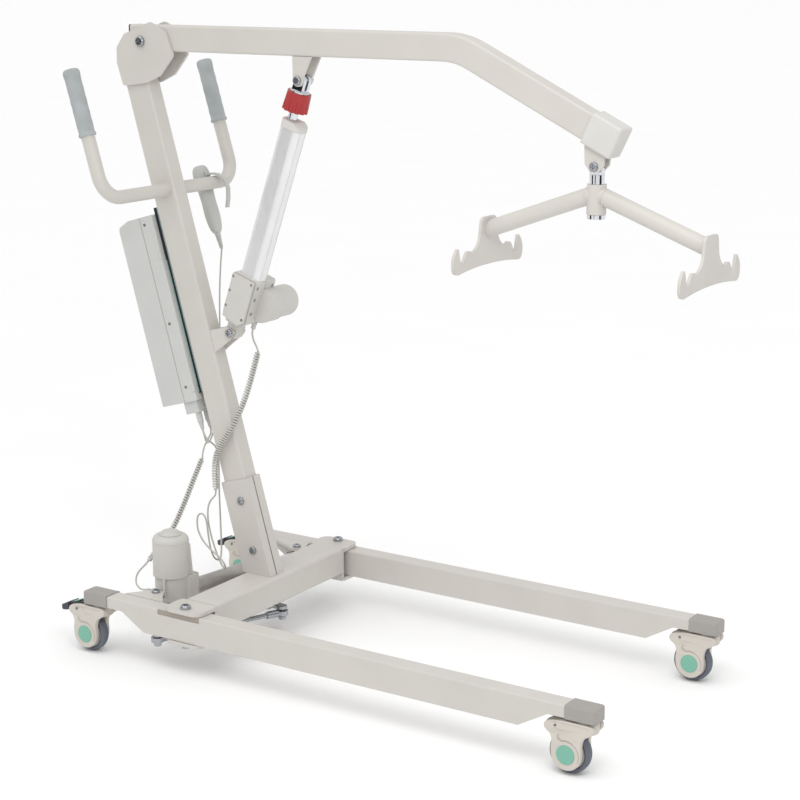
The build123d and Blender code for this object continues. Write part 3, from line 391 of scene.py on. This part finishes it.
def lofted_mesh(name, rings):
    """Skin over closed rings of points in millimetres, capped at both ends."""
    count = len(rings[0])
    verts = [metres(p) for ring in rings for p in ring]
    faces = []
    for k in range(len(rings) - 1):
        for i in range(count):
            j = (i + 1) % count
            faces.append((k * count + i, k * count + j, (k + 1) * count + j, (k + 1) * count + i))
    faces.append(tuple(reversed(range(count))))
    faces.append(tuple((len(rings) - 1) * count + i for i in range(count)))
    mesh = bpy.data.meshes.new(name)
    mesh.from_pydata(verts, [], faces)
    mesh.update()
    return mesh


def bar_mesh(name, path, radius, sides=10, closed=False):
    """Round bead or rib swept along points in millimetres."""
    rings = []
    n = len(path)
    side = None
    for i, point in enumerate(path):
        before = path[i - 1 if i or closed else 0]
        after = path[(i + 1) % n if i < n - 1 or closed else i]
        tangent = (Vector(after) - Vector(before)).normalized()
        if side is None:
            side = tangent.orthogonal()
        side = (side - tangent * side.dot(tangent)).normalized()
        up = tangent.cross(side)
        rings.append([Vector(point) + (side * math.cos(2 * math.pi * k / sides)
                                       + up * math.sin(2 * math.pi * k / sides)) * radius
                      for k in range(sides)])
    if closed:
        rings.append(rings[0])
    return lofted_mesh(name, rings)


def mast_point(x, y, h):
    """Point in the mast's own frame: x forward, h up the mast."""
    return MAST_FOOT + Vector((x * math.cos(LEAN) - h * math.sin(LEAN), y,
                               x * math.sin(LEAN) + h * math.cos(LEAN)))


RAM_TILT = math.atan2(UPPER_PIN.x - LOWER_PIN.x, UPPER_PIN.z - LOWER_PIN.z)


def ram_point(t, y, s):
    """Point in the lift actuator's frame: t forward, s along the rod."""
    return LOWER_PIN + Vector((t * math.cos(RAM_TILT) + s * math.sin(RAM_TILT), y,
                               -t * math.sin(RAM_TILT) + s * math.cos(RAM_TILT)))


# =====================================================================
# leads
# =====================================================================

LIFT_COIL = [(-361.5, 25, 613), (-369.5, 10, 554.5), (-383, -6, 495), (-392, -29, 456),
             (-418, -33, 420), (-434, -33, 390), (-438.5, -32.5, 355), (-436, -32, 315)]
LIFT_UPPER = [ram_point(22, 30, 13), ram_point(22, 30, 1), (-374, 28.6, 631.5), (-364.8, 26, 622.5)]
LIFT_LOWER = [(-437, -32, 303), (-449, -31, 293), (-459, -31, 277), (-461, -31, 250),
              (-454, -31, 215), (-441, -32, 182), (-429, -34, 160), (-416, -38, 148), (-402, -46, 149),
              (-400, -54, 164), (-414, -53, 176), (-438, -48, 184), (-464, -45, 200), (-479, -43, 222),
              (-483, -40, 243), (-479, -39, 257), (-467, -38, 260), (-459, -37, 246), (-456, -37, 218),
              (-453, -35, 188), (-451, -27, 162), (-450, -12, 150), (-454, 4, 152), (-462, 16, 172),
              (-470, 25, 208), (-475, 30, 250), (-478, 32, 295), (-477, 32, 340), (-474, 27, 372),
              (-470, 15, 394), (-469, 2, 405), (-473, -9, 414), mast_point(-57, -14, 312),
              mast_point(-57, -14, 324)]
SPREAD_COIL = [(-485.5, -14, 374), (-491.5, -30, 341), (-496, -47, 308), (-502, -63, 275),
               (-508, -81, 242), (-521, -95, 212), (-539, -107, 184), (-557, -116, 159)]
SPREAD_UPPER = [mast_point(-57, 12, 324), mast_point(-57, 12, 312), (-482.5, 4, 413), (-486.5, -4, 399),
                (-486.5, -10.5, 385)]
SPREAD_LOWER = [(-563, -119, 150), (-572, -125, 140), (-578, -133, 126), (-572, -141, 112),
                (-556, -147, 105), (-539, -151, 107), (-524.6, -153.7, 113), (-510.8, -155.9, 113)]
HANDSET_ROUTE = [(-541.8, 140, 800.3), (-545, 140, 775), (-549, 140, 728), (-551, 140, 680),
                 (-551, 139, 632), (-549, 135, 585), (-545, 127, 540), (-538, 113, 497),
                 (-528, 94, 457), (-517, 71, 424), (-507, 47, 402), (-499, 25, 396), (-493, 10, 403),
                 mast_point(-73, 4, 312), mast_point(-73, 4, 324)]
LEAD_D, HANDSET_LEAD_D = 3.8, 3.6
LIFT_COIL_D, LIFT_TURNS = 14.0, 57
SPREAD_COIL_D, SPREAD_TURNS = 13.0, 44
TURN_POINTS = 12


def spline_object(name, points, diameter):
    """Smooth NURBS line through control points given in millimetres."""
    data = bpy.data.curves.new(name, "CURVE")
    data.dimensions = "3D"
    spline = data.splines.new("NURBS")
    spline.points.add(len(points) - 1)
    for slot, point in zip(spline.points, points):
        slot.co = (*metres(point), 1.0)
    spline.order_u = 3
    spline.use_endpoint_u = True
    data.resolution_u = 4
    data.bevel_resolution = 4
    data.bevel_depth = diameter / 2 * MM
    data.use_fill_caps = True
    obj = bpy.data.objects.new(name, data)
    bpy.context.collection.objects.link(obj)
    return obj


def line_points(points):
    """Points along the smooth line through a route, in millimetres."""
    guide = spline_object("guide", points, 0.0)
    guide.data.resolution_u = 24
    bpy.context.view_layer.update()
    mesh = bpy.data.meshes.new_from_object(guide)
    line = [v.co / MM - TO_MIDDLE for v in mesh.vertices]
    bpy.data.objects.remove(guide)
    bpy.data.meshes.remove(mesh)
    return line


def helix(route, outer, cord, turns):
    """Control points of a curly stretch round a route, tapering in at both ends."""
    line = line_points(route)
    lengths = [0.0]
    for a, b in zip(line, line[1:]):
        lengths.append(lengths[-1] + (b - a).length)
    total = lengths[-1]
    count = turns * TURN_POINTS
    side = Vector((0, 1, 0))
    points, k = [], 0
    for i in range(count + 1):
        along = total * i / count
        while k < len(line) - 2 and lengths[k + 1] < along:
            k += 1
        step = line[k + 1] - line[k]
        share = (along - lengths[k]) / max(step.length, 1e-9)
        tangent = step.normalized()
        side = (side - tangent * side.dot(tangent)).normalized()
        up = tangent.cross(side)
        ramp = min(1.0, i / TURN_POINTS, (count - i) / TURN_POINTS)
        radius = (outer - cord) / 2 * ramp ** 0.5
        angle = 2 * math.pi * i / TURN_POINTS
        centre = line[k] + step * share
        points.append(centre + (side * math.cos(angle) + up * math.sin(angle)) * radius)
    return points


def spline_length(points):
    """Length of the smooth line through a route, in metres."""
    line = line_points(points)
    return sum((b - a).length for a, b in zip(line, line[1:])) * MM


def free_lead(name, nodes, points, diameter):
    """A lead that hangs on the base and stands for its CAD nodes."""
    obj = spline_object(name, points, diameter)
    obj.data.materials.append(SHEATH)
    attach(obj, "base")
    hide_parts(*nodes)
    tuple(metres(points[0]))
    spline_length(points)


free_lead("lift_cord", ("lift_lead", "lift_lead_coil"),
          LIFT_UPPER + helix(LIFT_COIL, LIFT_COIL_D, LEAD_D, LIFT_TURNS) + LIFT_LOWER, LEAD_D)
free_lead("spreader_cord", ("spreader_lead", "spreader_lead_coil"),
          SPREAD_UPPER + helix(SPREAD_COIL, SPREAD_COIL_D, LEAD_D, SPREAD_TURNS) + SPREAD_LOWER,
          LEAD_D)
free_lead("handset_cord", ("handset_lead",), HANDSET_ROUTE, HANDSET_LEAD_D)

# =====================================================================
# handle grips
# =====================================================================


def make_grips():
    """Moulded rubber sleeves: finger waves, a rounded end and a collar."""
    bar = mast_point(BAR_LOCAL[0], 0, BAR_LOCAL[1])
    up = Vector((-math.sin(ARM_BACK), 0, math.cos(ARM_BACK)))
    profile = [(14.05, -132), (17.2, -132), (17.9, -130.5), (17.9, -127), (16.4, -125)]
    for i in range(56):
        height = -123 + 2 * i
        wave = 0.22 * math.cos(2 * math.pi * (height + 12) / 24)
        profile.append((16.4 + wave, height))
    profile += [(17.2, -8), (17.2, -3), (16.4, 0.5), (14.4, 3.2), (11, 4.6), (5, 5), (0, 5)]
    for side, name in ((-1, "grip_near"), (1, "grip_far")):
        tip = bar + up * ARM_REACH + Vector((0, side * ARM_SPAN, 0))
        grip = place(name, turned_mesh(name, profile, tip, up), "base", GRIP, 60)
        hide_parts("handle_grips")


make_grips()

# =====================================================================
# casters
# =====================================================================

CASTERS = [(end, side, x, y) for end, x in (("rear", REAR_STEM_X), ("front", FRONT_STEM_X))
           for side, y in (("near", -TRACK_HALF), ("far", TRACK_HALF))]


def make_wheel(name, stem_x, y):
    """Tyre with a rounded crown on a webbed hub."""
    centre = (stem_x - TRAIL, y, WHEEL_R)
    tyre_section = [(31, -8.6), (35, -9.9), (38.2, -9.0), (39.7, -5.4), (40, 0), (39.7, 5.4),
                    (38.2, 9.0), (35, 9.9), (31, 8.6)]
    tyre = place(f"tyre_{name}", turned_mesh("tyre", tyre_section, centre, (0, 1, 0), closed=True),
                 f"wheel_{name}", TYRE, 80)
    hub_section = [(4.1, -9), (9, -9), (10, -6), (26, -5), (28, -8.2), (31.2, -8.4), (31.2, 8.4),
                   (28, 8.2), (26, 5), (10, 6), (9, 9), (4.1, 9)]
    hub_mesh = turned_mesh("hub", rounded(hub_section, 1.0), centre, (0, 1, 0), closed=True)
    hub = place(f"hub_{name}", hub_mesh, f"wheel_{name}", IVORY)
    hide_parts(f"caster_wheel_{name}")
    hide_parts(f"caster_wheel_{name}")


# outline of a side cover, from the stem and the floor
COVER = [(-76.3, 83.5), (-75.6, 89.5), (-71, 94.2), (-62, 97.6), (-50, 100.4), (-36, 102.4), (-20, 103),
         (0, 103), (16, 102.6), (23.6, 100.2), (25, 94), (22.6, 88), (15, 82.6), (7, 77.4), (2.2, 70),
         (0.2, 60), (0.9, 49), (1, 40), (-1.3, 28.5), (-7.8, 18.8), (-17.5, 12.3), (-29, 10),
         (-40.5, 12.3), (-50.2, 18.8), (-56.7, 28.5), (-59, 40), (-59.4, 50), (-58.2, 59.5),
         (-60, 67.5), (-66, 73.8), (-72.6, 78.2)]
COVER_INNER, COVER_OUTER, NOSE_HALF = 11.5, 22.0, 17.0   # from the middle of the fork
GROOVE_R = 26.2
COVER_SCREW = (-52, 91)
DECK_LOW, DECK_HIGH = 84.0, 103.1


def cover_width(u, v):
    """Share of the full half width that the fork keeps: the nose is slimmer than the lobe."""
    along = min(1.0, max(0.0, (-44 - u) / 20))
    above = min(1.0, max(0.0, (v - 60) / 15))
    return 1 - (1 - NOSE_HALF / COVER_OUTER) * along * above


def make_fork(name, stem_x, y):
    """Swivel fork: two smooth side covers, a deck between them, the ring and the stem."""
    body = f"swivel_{name}"
    wheel_x = stem_x - TRAIL
    outline = smooth_loop(COVER)
    for label, side in (("inner", 1), ("outer", -1)):
        def to_world(u, v, w, side=side):
            half = w if w < COVER_INNER + 1 else w * cover_width(u, v)
            return (stem_x + u, y + side * half, v)
        cover = place(f"cover_{name}_{label}",
                      soft_plate("cover", outline, (COVER_INNER, COVER_OUTER), 1.8, to_world),
                      body, IVORY, 50)
        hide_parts(f"caster_fork_{name}")
        face = y + side * COVER_OUTER
        # painted shade: a dark bead along the groove round the cover's lobe
        groove = []
        for k in range(33):
            a = math.radians(-25 + 4.2 * k)
            groove.append((wheel_x + GROOVE_R * math.cos(a), face, WHEEL_R + GROOVE_R * math.sin(a)))
        groove.append((wheel_x - 17.5, face, WHEEL_R + 30.0))
        groove.append((wheel_x - 15.0, face, WHEEL_R + 36.0))
        place(f"cover_groove_shade_{name}_{label}", bar_mesh("line", groove, 0.45, 6), body, LINE_SHADE)
    collar = [(-30, -20.6), (-12, -20.8), (0, -20.8), (10, -19.8), (18, -15.4), (22.8, -7.6), (23.9, 0),
              (22.8, 7.6), (18, 15.4), (10, 19.8), (0, 20.8), (-12, 20.8), (-30, 20.6)]
    if name.startswith("rear"):
        deck = [(-34, 12), (-34, -12), (-32, -20)] + collar[1:-1] + [(-32, 20)]
    else:
        nose = [(-44, 20.6), (-58, 17.6), (-67, 15.8), (-73.5, 11), (-75.6, 4)]
        deck = [(u, -v) for u, v in reversed(nose)] + collar + nose

    def deck_to_world(u, v, w):
        top = DECK_HIGH - 10.5 * min(1.0, max(0.0, (-32 - u) / 42)) ** 1.4
        return (stem_x + u, y + v, DECK_LOW + (w - DECK_LOW) * (top - DECK_LOW) / (DECK_HIGH - DECK_LOW))

    deck_mesh = soft_plate("deck", smooth_loop(deck), (DECK_LOW, DECK_HIGH), 1.6, deck_to_world)
    place(f"deck_{name}", deck_mesh, body, IVORY, 50)
    ring = [(5.4, 102), (15.6, 102), (16.2, 104), (15.4, 106.6), (13.6, 107.1), (5.4, 107.1)]
    place(f"ring_{name}", turned_mesh("ring", ring, (stem_x, y, 0), (0, 0, 1), closed=True), body,
          IVORY)
    stem = [(0, 100), (5.5, 100), (5.5, 123), (4.5, 124), (0, 124)]
    place(f"stem_{name}", turned_mesh("stem", stem, (stem_x, y, 0), (0, 0, 1), 32), body, ZINC)
    axle = [(0, -14), (4, -14), (4, 14), (0, 14)]
    place(f"axle_{name}", turned_mesh("axle", axle, (wheel_x, y, WHEEL_R), (0, 1, 0), 32), body, ZINC)


def make_discs(name, stem_x, y):
    """Domed mint discs and a small screw on each side cover."""
    for label, side in (("inner", 1), ("outer", -1)):
        seat = Vector((stem_x - TRAIL, y + side * 22.2, WHEEL_R))
        profile = [(18.15, 0), (18.15, 0.7), (17.4, 1.15), (12, 1.3), (0, 1.35)]
        disc = turned_mesh("disc", rounded(profile, 0.4, 3), seat, (0, side, 0))
        place(f"disc_{name}_{label}", disc, f"swivel_{name}", MINT)
        screw = [(2.4, -0.5), (2.4, 0.2), (1.9, 0.4), (1.0, 0.1), (0, 0.05)]
        u, v = COVER_SCREW
        seat = (stem_x + u, y + side * COVER_OUTER * cover_width(u, v), v)
        place(f"cover_screw_{name}_{label}", turned_mesh("screw", screw, seat, (0, side, 0), 24),
              f"swivel_{name}", SCREW)


for end, side, stem_x, y in CASTERS:
    make_fork(f"{end}_{side}", stem_x, y)
    make_wheel(f"{end}_{side}", stem_x, y)
    make_discs(f"{end}_{side}", stem_x, y)

# =====================================================================
# handset
# =====================================================================

HANDSET_BACK = math.radians(18.3)
HANDSET_GAP, HANDSET_Y = 27.2, 140   # behind the handle bar, and from the middle
HANDSET_AT = mast_point(BAR_LOCAL[0], 0, BAR_LOCAL[1]) + Vector((
    -HANDSET_GAP * math.cos(HANDSET_BACK), HANDSET_Y, -HANDSET_GAP * math.sin(HANDSET_BACK)))


def handset_point(x, y, z):
    """Point in the handset's frame: x forward, z up along it."""
    c, k = math.cos(HANDSET_BACK), math.sin(HANDSET_BACK)
    return HANDSET_AT + Vector((x * c - z * k, y, x * k + z * c))


def make_handset():
    """Rounded hand control with a waist, and its ribbed strain relief."""
    # height, half width and half depth up the body
    stations = [(-106, 6.5, 6.0), (-103, 10.0, 8.0), (-97, 13.2, 9.8), (-88, 15.6, 11.0),
                (-76, 17.2, 11.9), (-62, 17.8, 12.3), (-48, 17.0, 12.4), (-34, 16.2, 12.4),
                (-20, 17.2, 12.4), (-6, 19.4, 12.4), (8, 21.2, 12.4), (20, 21.8, 12.4),
                (30, 20.6, 12.2), (37, 17.6, 11.4), (41.5, 13.4, 9.6), (43.6, 8.0, 6.6), (44, 3.0, 3.0)]
    around = 48
    rings = []
    for z, width, depth in stations:
        ring = []
        for k in range(around):
            a = 2 * math.pi * k / around
            c, n = math.cos(a), math.sin(a)
            ring.append(handset_point(depth * math.copysign(abs(c) ** 0.62, c),
                                      width * math.copysign(abs(n) ** 0.72, n), z))
        rings.append(ring)
    body = place("handset_body", lofted_mesh("handset_body", rings), "base", HANDSET, 60)
    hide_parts("handset")
    axis = handset_point(0, 0, 1) - handset_point(0, 0, 0)
    relief = [(0, -104), (6.6, -104), (6.6, -108)]
    for k in range(6):
        z, r = -110 - 5 * k, 6.3 - 0.4 * k
        relief += [(r, z), (r, z - 2.8), (r - 1.1, z - 3.3), (r - 1.1, z - 4.6)]
    relief += [(3.2, -140), (2.6, -141), (0, -141)]
    place("handset_relief", turned_mesh("relief", relief, handset_point(0, 0, 0), axis, 40), "base",
          HANDSET, 60)


make_handset()

# =====================================================================
# control box and rail
# =====================================================================

BOX_HALF = 30.0


def screw_at(name, seat, axis, radius, body, finish=SCREW):
    """Screw with a dished head."""
    head = [(radius, -0.6), (radius, 0.15), (radius * 0.8, 0.35), (radius * 0.45, 0.3),
            (radius * 0.4, -0.1), (0, -0.15)]
    place(name, turned_mesh("screw", head, seat, axis, 28), body, finish)


def mast_bar(name, x, y, h, finish, soft=0.4):
    """Soft-edged bar along the mast from three (low, high) pairs in the mast's frame."""
    outline = [(x[0], h[0]), (x[1], h[0]), (x[1], h[1]), (x[0], h[1])]
    mesh = soft_plate(name, outline, y, soft, lambda u, v, w: mast_point(u, w, v))
    place(name, mesh, "base", finish)


def dress_box():
    """Screws, clips and painted seam shade on the control box, and painted highlight strips along the
    edges of its rail.
    """
    for side, tag in ((-1, "near"), (1, "far")):
        for k, (x, h) in enumerate(((-64, 772), (-62.5, 558), (-61, 420))):
            screw_at(f"box_screw_{tag}_{k}", mast_point(x, side * BOX_HALF, h), (0, side, 0), 3.2, "base",
                     BLACK)
        # painted shade along the seam between the box halves
        edge = sorted((side * 29.9, side * 30.35))
        mast_bar(f"box_seam_shade_{tag}", (-74.4, -73.5), edge, (389, 788), LINE_SHADE, 0.1)
        for k, h in enumerate((702, 414)):
            across = sorted((side * 26, side * 31.2))
            mast_bar(f"box_clip_{tag}_{k}", (-48, -38.5), across, (h - 7, h + 7), BOX, 0.8)
        # painted highlight: thin teal strips along the rail's edges
        strip = sorted((side * 16.8, side * 17.3))
        mast_bar(f"rail_highlight_strip_{tag}", (-39.8, -38.2), strip, (404, 690), RAIL_HIGHLIGHT, 0.1)
        mast_bar(f"rail_edge_highlight_{tag}", (-31.8, -30.4), strip, (404, 800), RAIL_HIGHLIGHT, 0.1)


dress_box()

# =====================================================================
# lift actuator
# =====================================================================


def dress_actuator():
    """Screws, painted shade along the cover gap and the parting line, and the tube's die lines."""
    aside = ram_point(1, 0, 0) - ram_point(0, 0, 0)
    for k, (y, height) in enumerate(((-15, 118), (-15, 92), (-15, 60), (35, 118), (35, 60))):
        screw_at(f"gear_screw_{k}", ram_point(36.0, y, height), aside, 3.4, "lift_body")
    for k, (t, height) in enumerate(((-21, 124), (-21, 92), (-21, 58), (27, 124), (26, 44))):
        screw_at(f"cover_bolt_{k}", ram_point(t, -28.0, height), (0, -1, 0), 2.8, "lift_body",
                 BLACK if k == 4 else SCREW)
    # painted shade: a dark bead along the gap round the gearbox cover
    rim = [(-22.5, 34.6), (-24.2, 48.2), (-24.2, 129), (-23, 130.2), (31, 130.2), (32.2, 129),
           (32.2, 38.6), (31, 37), (18.2, 28.2), (16, 27.6)]
    path = [ram_point(t, -22.2, height) for t, height in rim]
    place("cover_gap", bar_mesh("gap", path, 0.5, 6, closed=True), "lift_body", LINE_SHADE)
    # painted shade along the gearbox's parting line
    path = [ram_point(36.1, 9.5, height) for height in (40, 70, 100, 131.6)]
    place("gear_parting_shade", bar_mesh("parting", path, 0.45, 6), "lift_body", LINE_SHADE)
    up = ram_point(0, 0, 1) - ram_point(0, 0, 0)
    gland = [(0, 28), (5.6, 28), (5.6, 24), (4.6, 22), (4.6, 17), (3.6, 14), (3.4, 12.4), (0, 12.4)]
    place("gland_lift", turned_mesh("gland", gland, ram_point(22, 30, 0), up, 32), "lift_body", DRIVE)
    for t, tag in ((-15.85, "r"), (33.85, "f")):
        for y, side in ((-9, "n"), (9, "f")):
            path = [ram_point(t, y, height) for height in (133, 240, 350, 455)]
            place(f"tube_line_{tag}_{side}", bar_mesh("line", path, 0.45, 6), "lift_body", ALUMINIUM)


dress_actuator()

# =====================================================================
# leg spreader drive
# =====================================================================

DRIVE_NEAR, DRIVE_FAR, DRIVE_AXIS_Z = (-462, -206), (-398, 205), 113   # pins of the spreader
SPREAD = math.atan2(DRIVE_FAR[0] - DRIVE_NEAR[0], DRIVE_FAR[1] - DRIVE_NEAR[1])


def spreader_point(x, y, s):
    """Point in the spreader's frame: x forward, y down, s along the rod."""
    return Vector((DRIVE_NEAR[0] + x * math.cos(SPREAD) + s * math.sin(SPREAD),
                   DRIVE_NEAR[1] - x * math.sin(SPREAD) + s * math.cos(SPREAD), DRIVE_AXIS_Z - y))


def dress_spreader():
    """Ribs, rings and screws on the motor can and its gear housing."""
    seat = spreader_point(-9, -44, 52)
    up = (0, 0, 1)
    for k, (low, high) in enumerate(((73.6, 75.4), (0.2, 2.6))):
        ring = [(37.6, low), (38.5, low + 0.4), (38.5, high - 0.4), (37.6, high)]
        place(f"can_ring_{k}", turned_mesh("ring", ring, seat, up, closed=True), "spreader_body", DRIVE)
    boss = [(0, 95.6), (13, 95.5), (16.6, 94.6), (17.4, 92.6), (20.5, 90.2), (23.4, 88.6)]
    place("can_boss", turned_mesh("boss", boss, seat, up), "spreader_body", DRIVE)
    ribs = ((-74, [(34, -44), (40.5, -44), (40.5, -16), (38.6, 12), (34, 12)]),
            (33, [(36, 0), (45, 0), (45, 6), (40.6, 66), (36, 70)]),
            (52, [(36, 0), (44, 0), (44, 6), (40.2, 60), (36, 64)]))
    for k, (angle, outline) in enumerate(ribs):
        a = math.radians(angle)
        out = Vector((math.cos(a), math.sin(a), 0))
        across = Vector((-math.sin(a), math.cos(a), 0))
        mesh = soft_plate("rib", outline, (-2.6, 2.6), 0.8,
                          lambda u, v, w, out=out, across=across: seat + out * u + across * w
                          + Vector((0, 0, v)))
        place(f"can_rib_{k}", mesh, "spreader_body", DRIVE)
    for k, (x, s_at) in enumerate(((-34, 92), (24, 92))):
        screw_at(f"drive_screw_{k}", spreader_point(x, -44, s_at), up, 3.2, "spreader_body")


dress_spreader()

# =====================================================================
# frame details
# =====================================================================


def bead(name, centre, axis, radius, thick, body):
    """Weld bead: a ring with gentle ripples where a tube meets a plate."""
    axis = Vector(axis).normalized()
    side = axis.orthogonal().normalized()
    up = axis.cross(side)
    steps, ripples, ripple_height = 96, 16, 0.25
    path = []
    for k in range(steps):
        a = 2 * math.pi * k / steps
        reach = radius + ripple_height * math.sin(a * ripples)
        path.append(Vector(centre) + (side * math.cos(a) + up * math.sin(a)) * reach)
    place(name, bar_mesh("bead", path, thick, 8, closed=True), body, PAINT, 80)


def dress_frame():
    """Painted shade in the gap between the socket halves, weld beads, painted shade in the leg notches,
    and pedal inserts.
    """
    # painted shade: a dark strip in the gap between the socket halves
    mast_bar("socket_gap_shade", (30.1, 32.6), (-1.5, 1.5), (-9.0, 204.0), DARK, soft=0.2)
    for side, tag in ((-1, "near"), (1, "far")):
        weld_at = mast_point(BAR_LOCAL[0], side * 20.2, BAR_LOCAL[1])
        bead(f"handle_weld_{tag}", weld_at, (0, 1, 0), 14.4, 1.7, "base")
        outer = side * (TRACK_HALF + LEG_HALF)
        outline = [(-392.6, 121.4), (-286.4, 121.4), (-286.4, 131.8), (-392.6, 131.8)]
        span = sorted((outer - side * 2.0, outer - side * 1.6))
        shade = soft_plate("shade", outline, span, 0.05, lambda u, v, w: (u, w, v))
        place(f"notch_shade_{tag}", shade, f"leg_{tag}_frame", SHADE)
        insert = [(-72, 97.5), (-54, 104.9), (-54, 105.7), (-72, 99.5)]
        mesh = soft_plate("insert", insert, (-7, 7), 0.3,
                          lambda u, v, w, side=side: (REAR_STEM_X + u, side * TRACK_HALF + w, v))
        place(f"pedal_insert_{tag}", mesh, f"pedal_rear_{tag}", MINT)
    for side, tag in ((-1, "rear"), (1, "front")):
        slope = (side * 190.0, 0, -83.0)
        start = (HANGER_X + side * 15.5, 0, 994.0)
        bead(f"hub_weld_{tag}", start, slope, 16.2, 1.6, "sling_bar")


dress_frame()

# =====================================================================
# floor and light
# =====================================================================


def make_stage():
    """White floor and white surroundings."""
    mesh = bpy.data.meshes.new("floor")
    reach = 60.0
    mesh.from_pydata([(-reach, -reach, 0), (reach, -reach, 0), (reach, reach, 0), (-reach, reach, 0)], [],
                     [(0, 1, 2, 3)])
    floor = bpy.data.objects.new("floor", mesh)
    bpy.context.collection.objects.link(floor)
    f = Finish("floor_finish").set(Roughness=0.7, Specular_IOR_Level=0.1)
    f.colour((0.96, 0.96, 0.96, 1), (0.97, 0.97, 0.97, 1), f.noise(2.0))
    floor.data.materials.append(f.done())
    world = bpy.data.worlds.new("studio")
    bpy.context.scene.world = world
    world.use_nodes = True
    background = world.node_tree.nodes["Background"]
    background.inputs["Color"].default_value = (1.0, 1.0, 1.0, 1)
    background.inputs["Strength"].default_value = 0.82
    bpy.context.scene.view_settings.view_transform = "Standard"


def sun(name, towards, strength, angle):
    light = bpy.data.lights.new(name, "SUN")
    light.energy = strength
    light.angle = math.radians(angle)
    obj = bpy.data.objects.new(name, light)
    bpy.context.collection.objects.link(obj)
    obj.rotation_mode = "QUATERNION"
    obj.rotation_quaternion = Vector(towards).to_track_quat("-Z", "Y")


def dark_flag(name, corners):
    """Upright dark card that only the reflections show."""
    mesh = bpy.data.meshes.new(name)
    mesh.from_pydata(corners, [], [(0, 1, 2, 3)])
    card = bpy.data.objects.new(name, mesh)
    bpy.context.collection.objects.link(card)
    f = Finish(name).set(Roughness=0.9, Specular_IOR_Level=0.0)
    f.colour((0.015, 0.015, 0.015, 1), (0.02, 0.02, 0.02, 1), f.noise(1.0))
    card.data.materials.append(f.done())
    card.visible_camera = False
    card.visible_diffuse = False
    card.visible_shadow = False


def area_light(name, at, towards, size, power):
    light = bpy.data.lights.new(name, "AREA")
    light.shape = "RECTANGLE"
    light.size, light.size_y = size
    light.energy = power
    obj = bpy.data.objects.new(name, light)
    bpy.context.collection.objects.link(obj)
    obj.location = at
    obj.rotation_mode = "QUATERNION"
    obj.rotation_quaternion = (Vector(towards) - Vector(at)).to_track_quat("-Z", "Y")


make_stage()
dark_flag("flag_left", [(-3.2, -2.2, 0.1), (-2.4, -4.2, 0.1), (-2.4, -4.2, 2.6), (-3.2, -2.2, 2.6)])
dark_flag("flag_right", [(3.8, -1.6, 0.1), (4.3, 0.6, 0.1), (4.3, 0.6, 2.6), (3.8, -1.6, 2.6)])
dark_flag("flag_back", [(-0.2, -5.5, 0.2), (1.2, -5.8, 0.2), (1.2, -5.8, 2.4), (-0.2, -5.5, 2.4)])
sun("key", (0.15, 0.45, -1.0), 0.74, 50)
area_light("boom_light", (1.1, -1.2, 2.0), (0.3, 0.0, 1.15), (0.8, 0.8), 9)
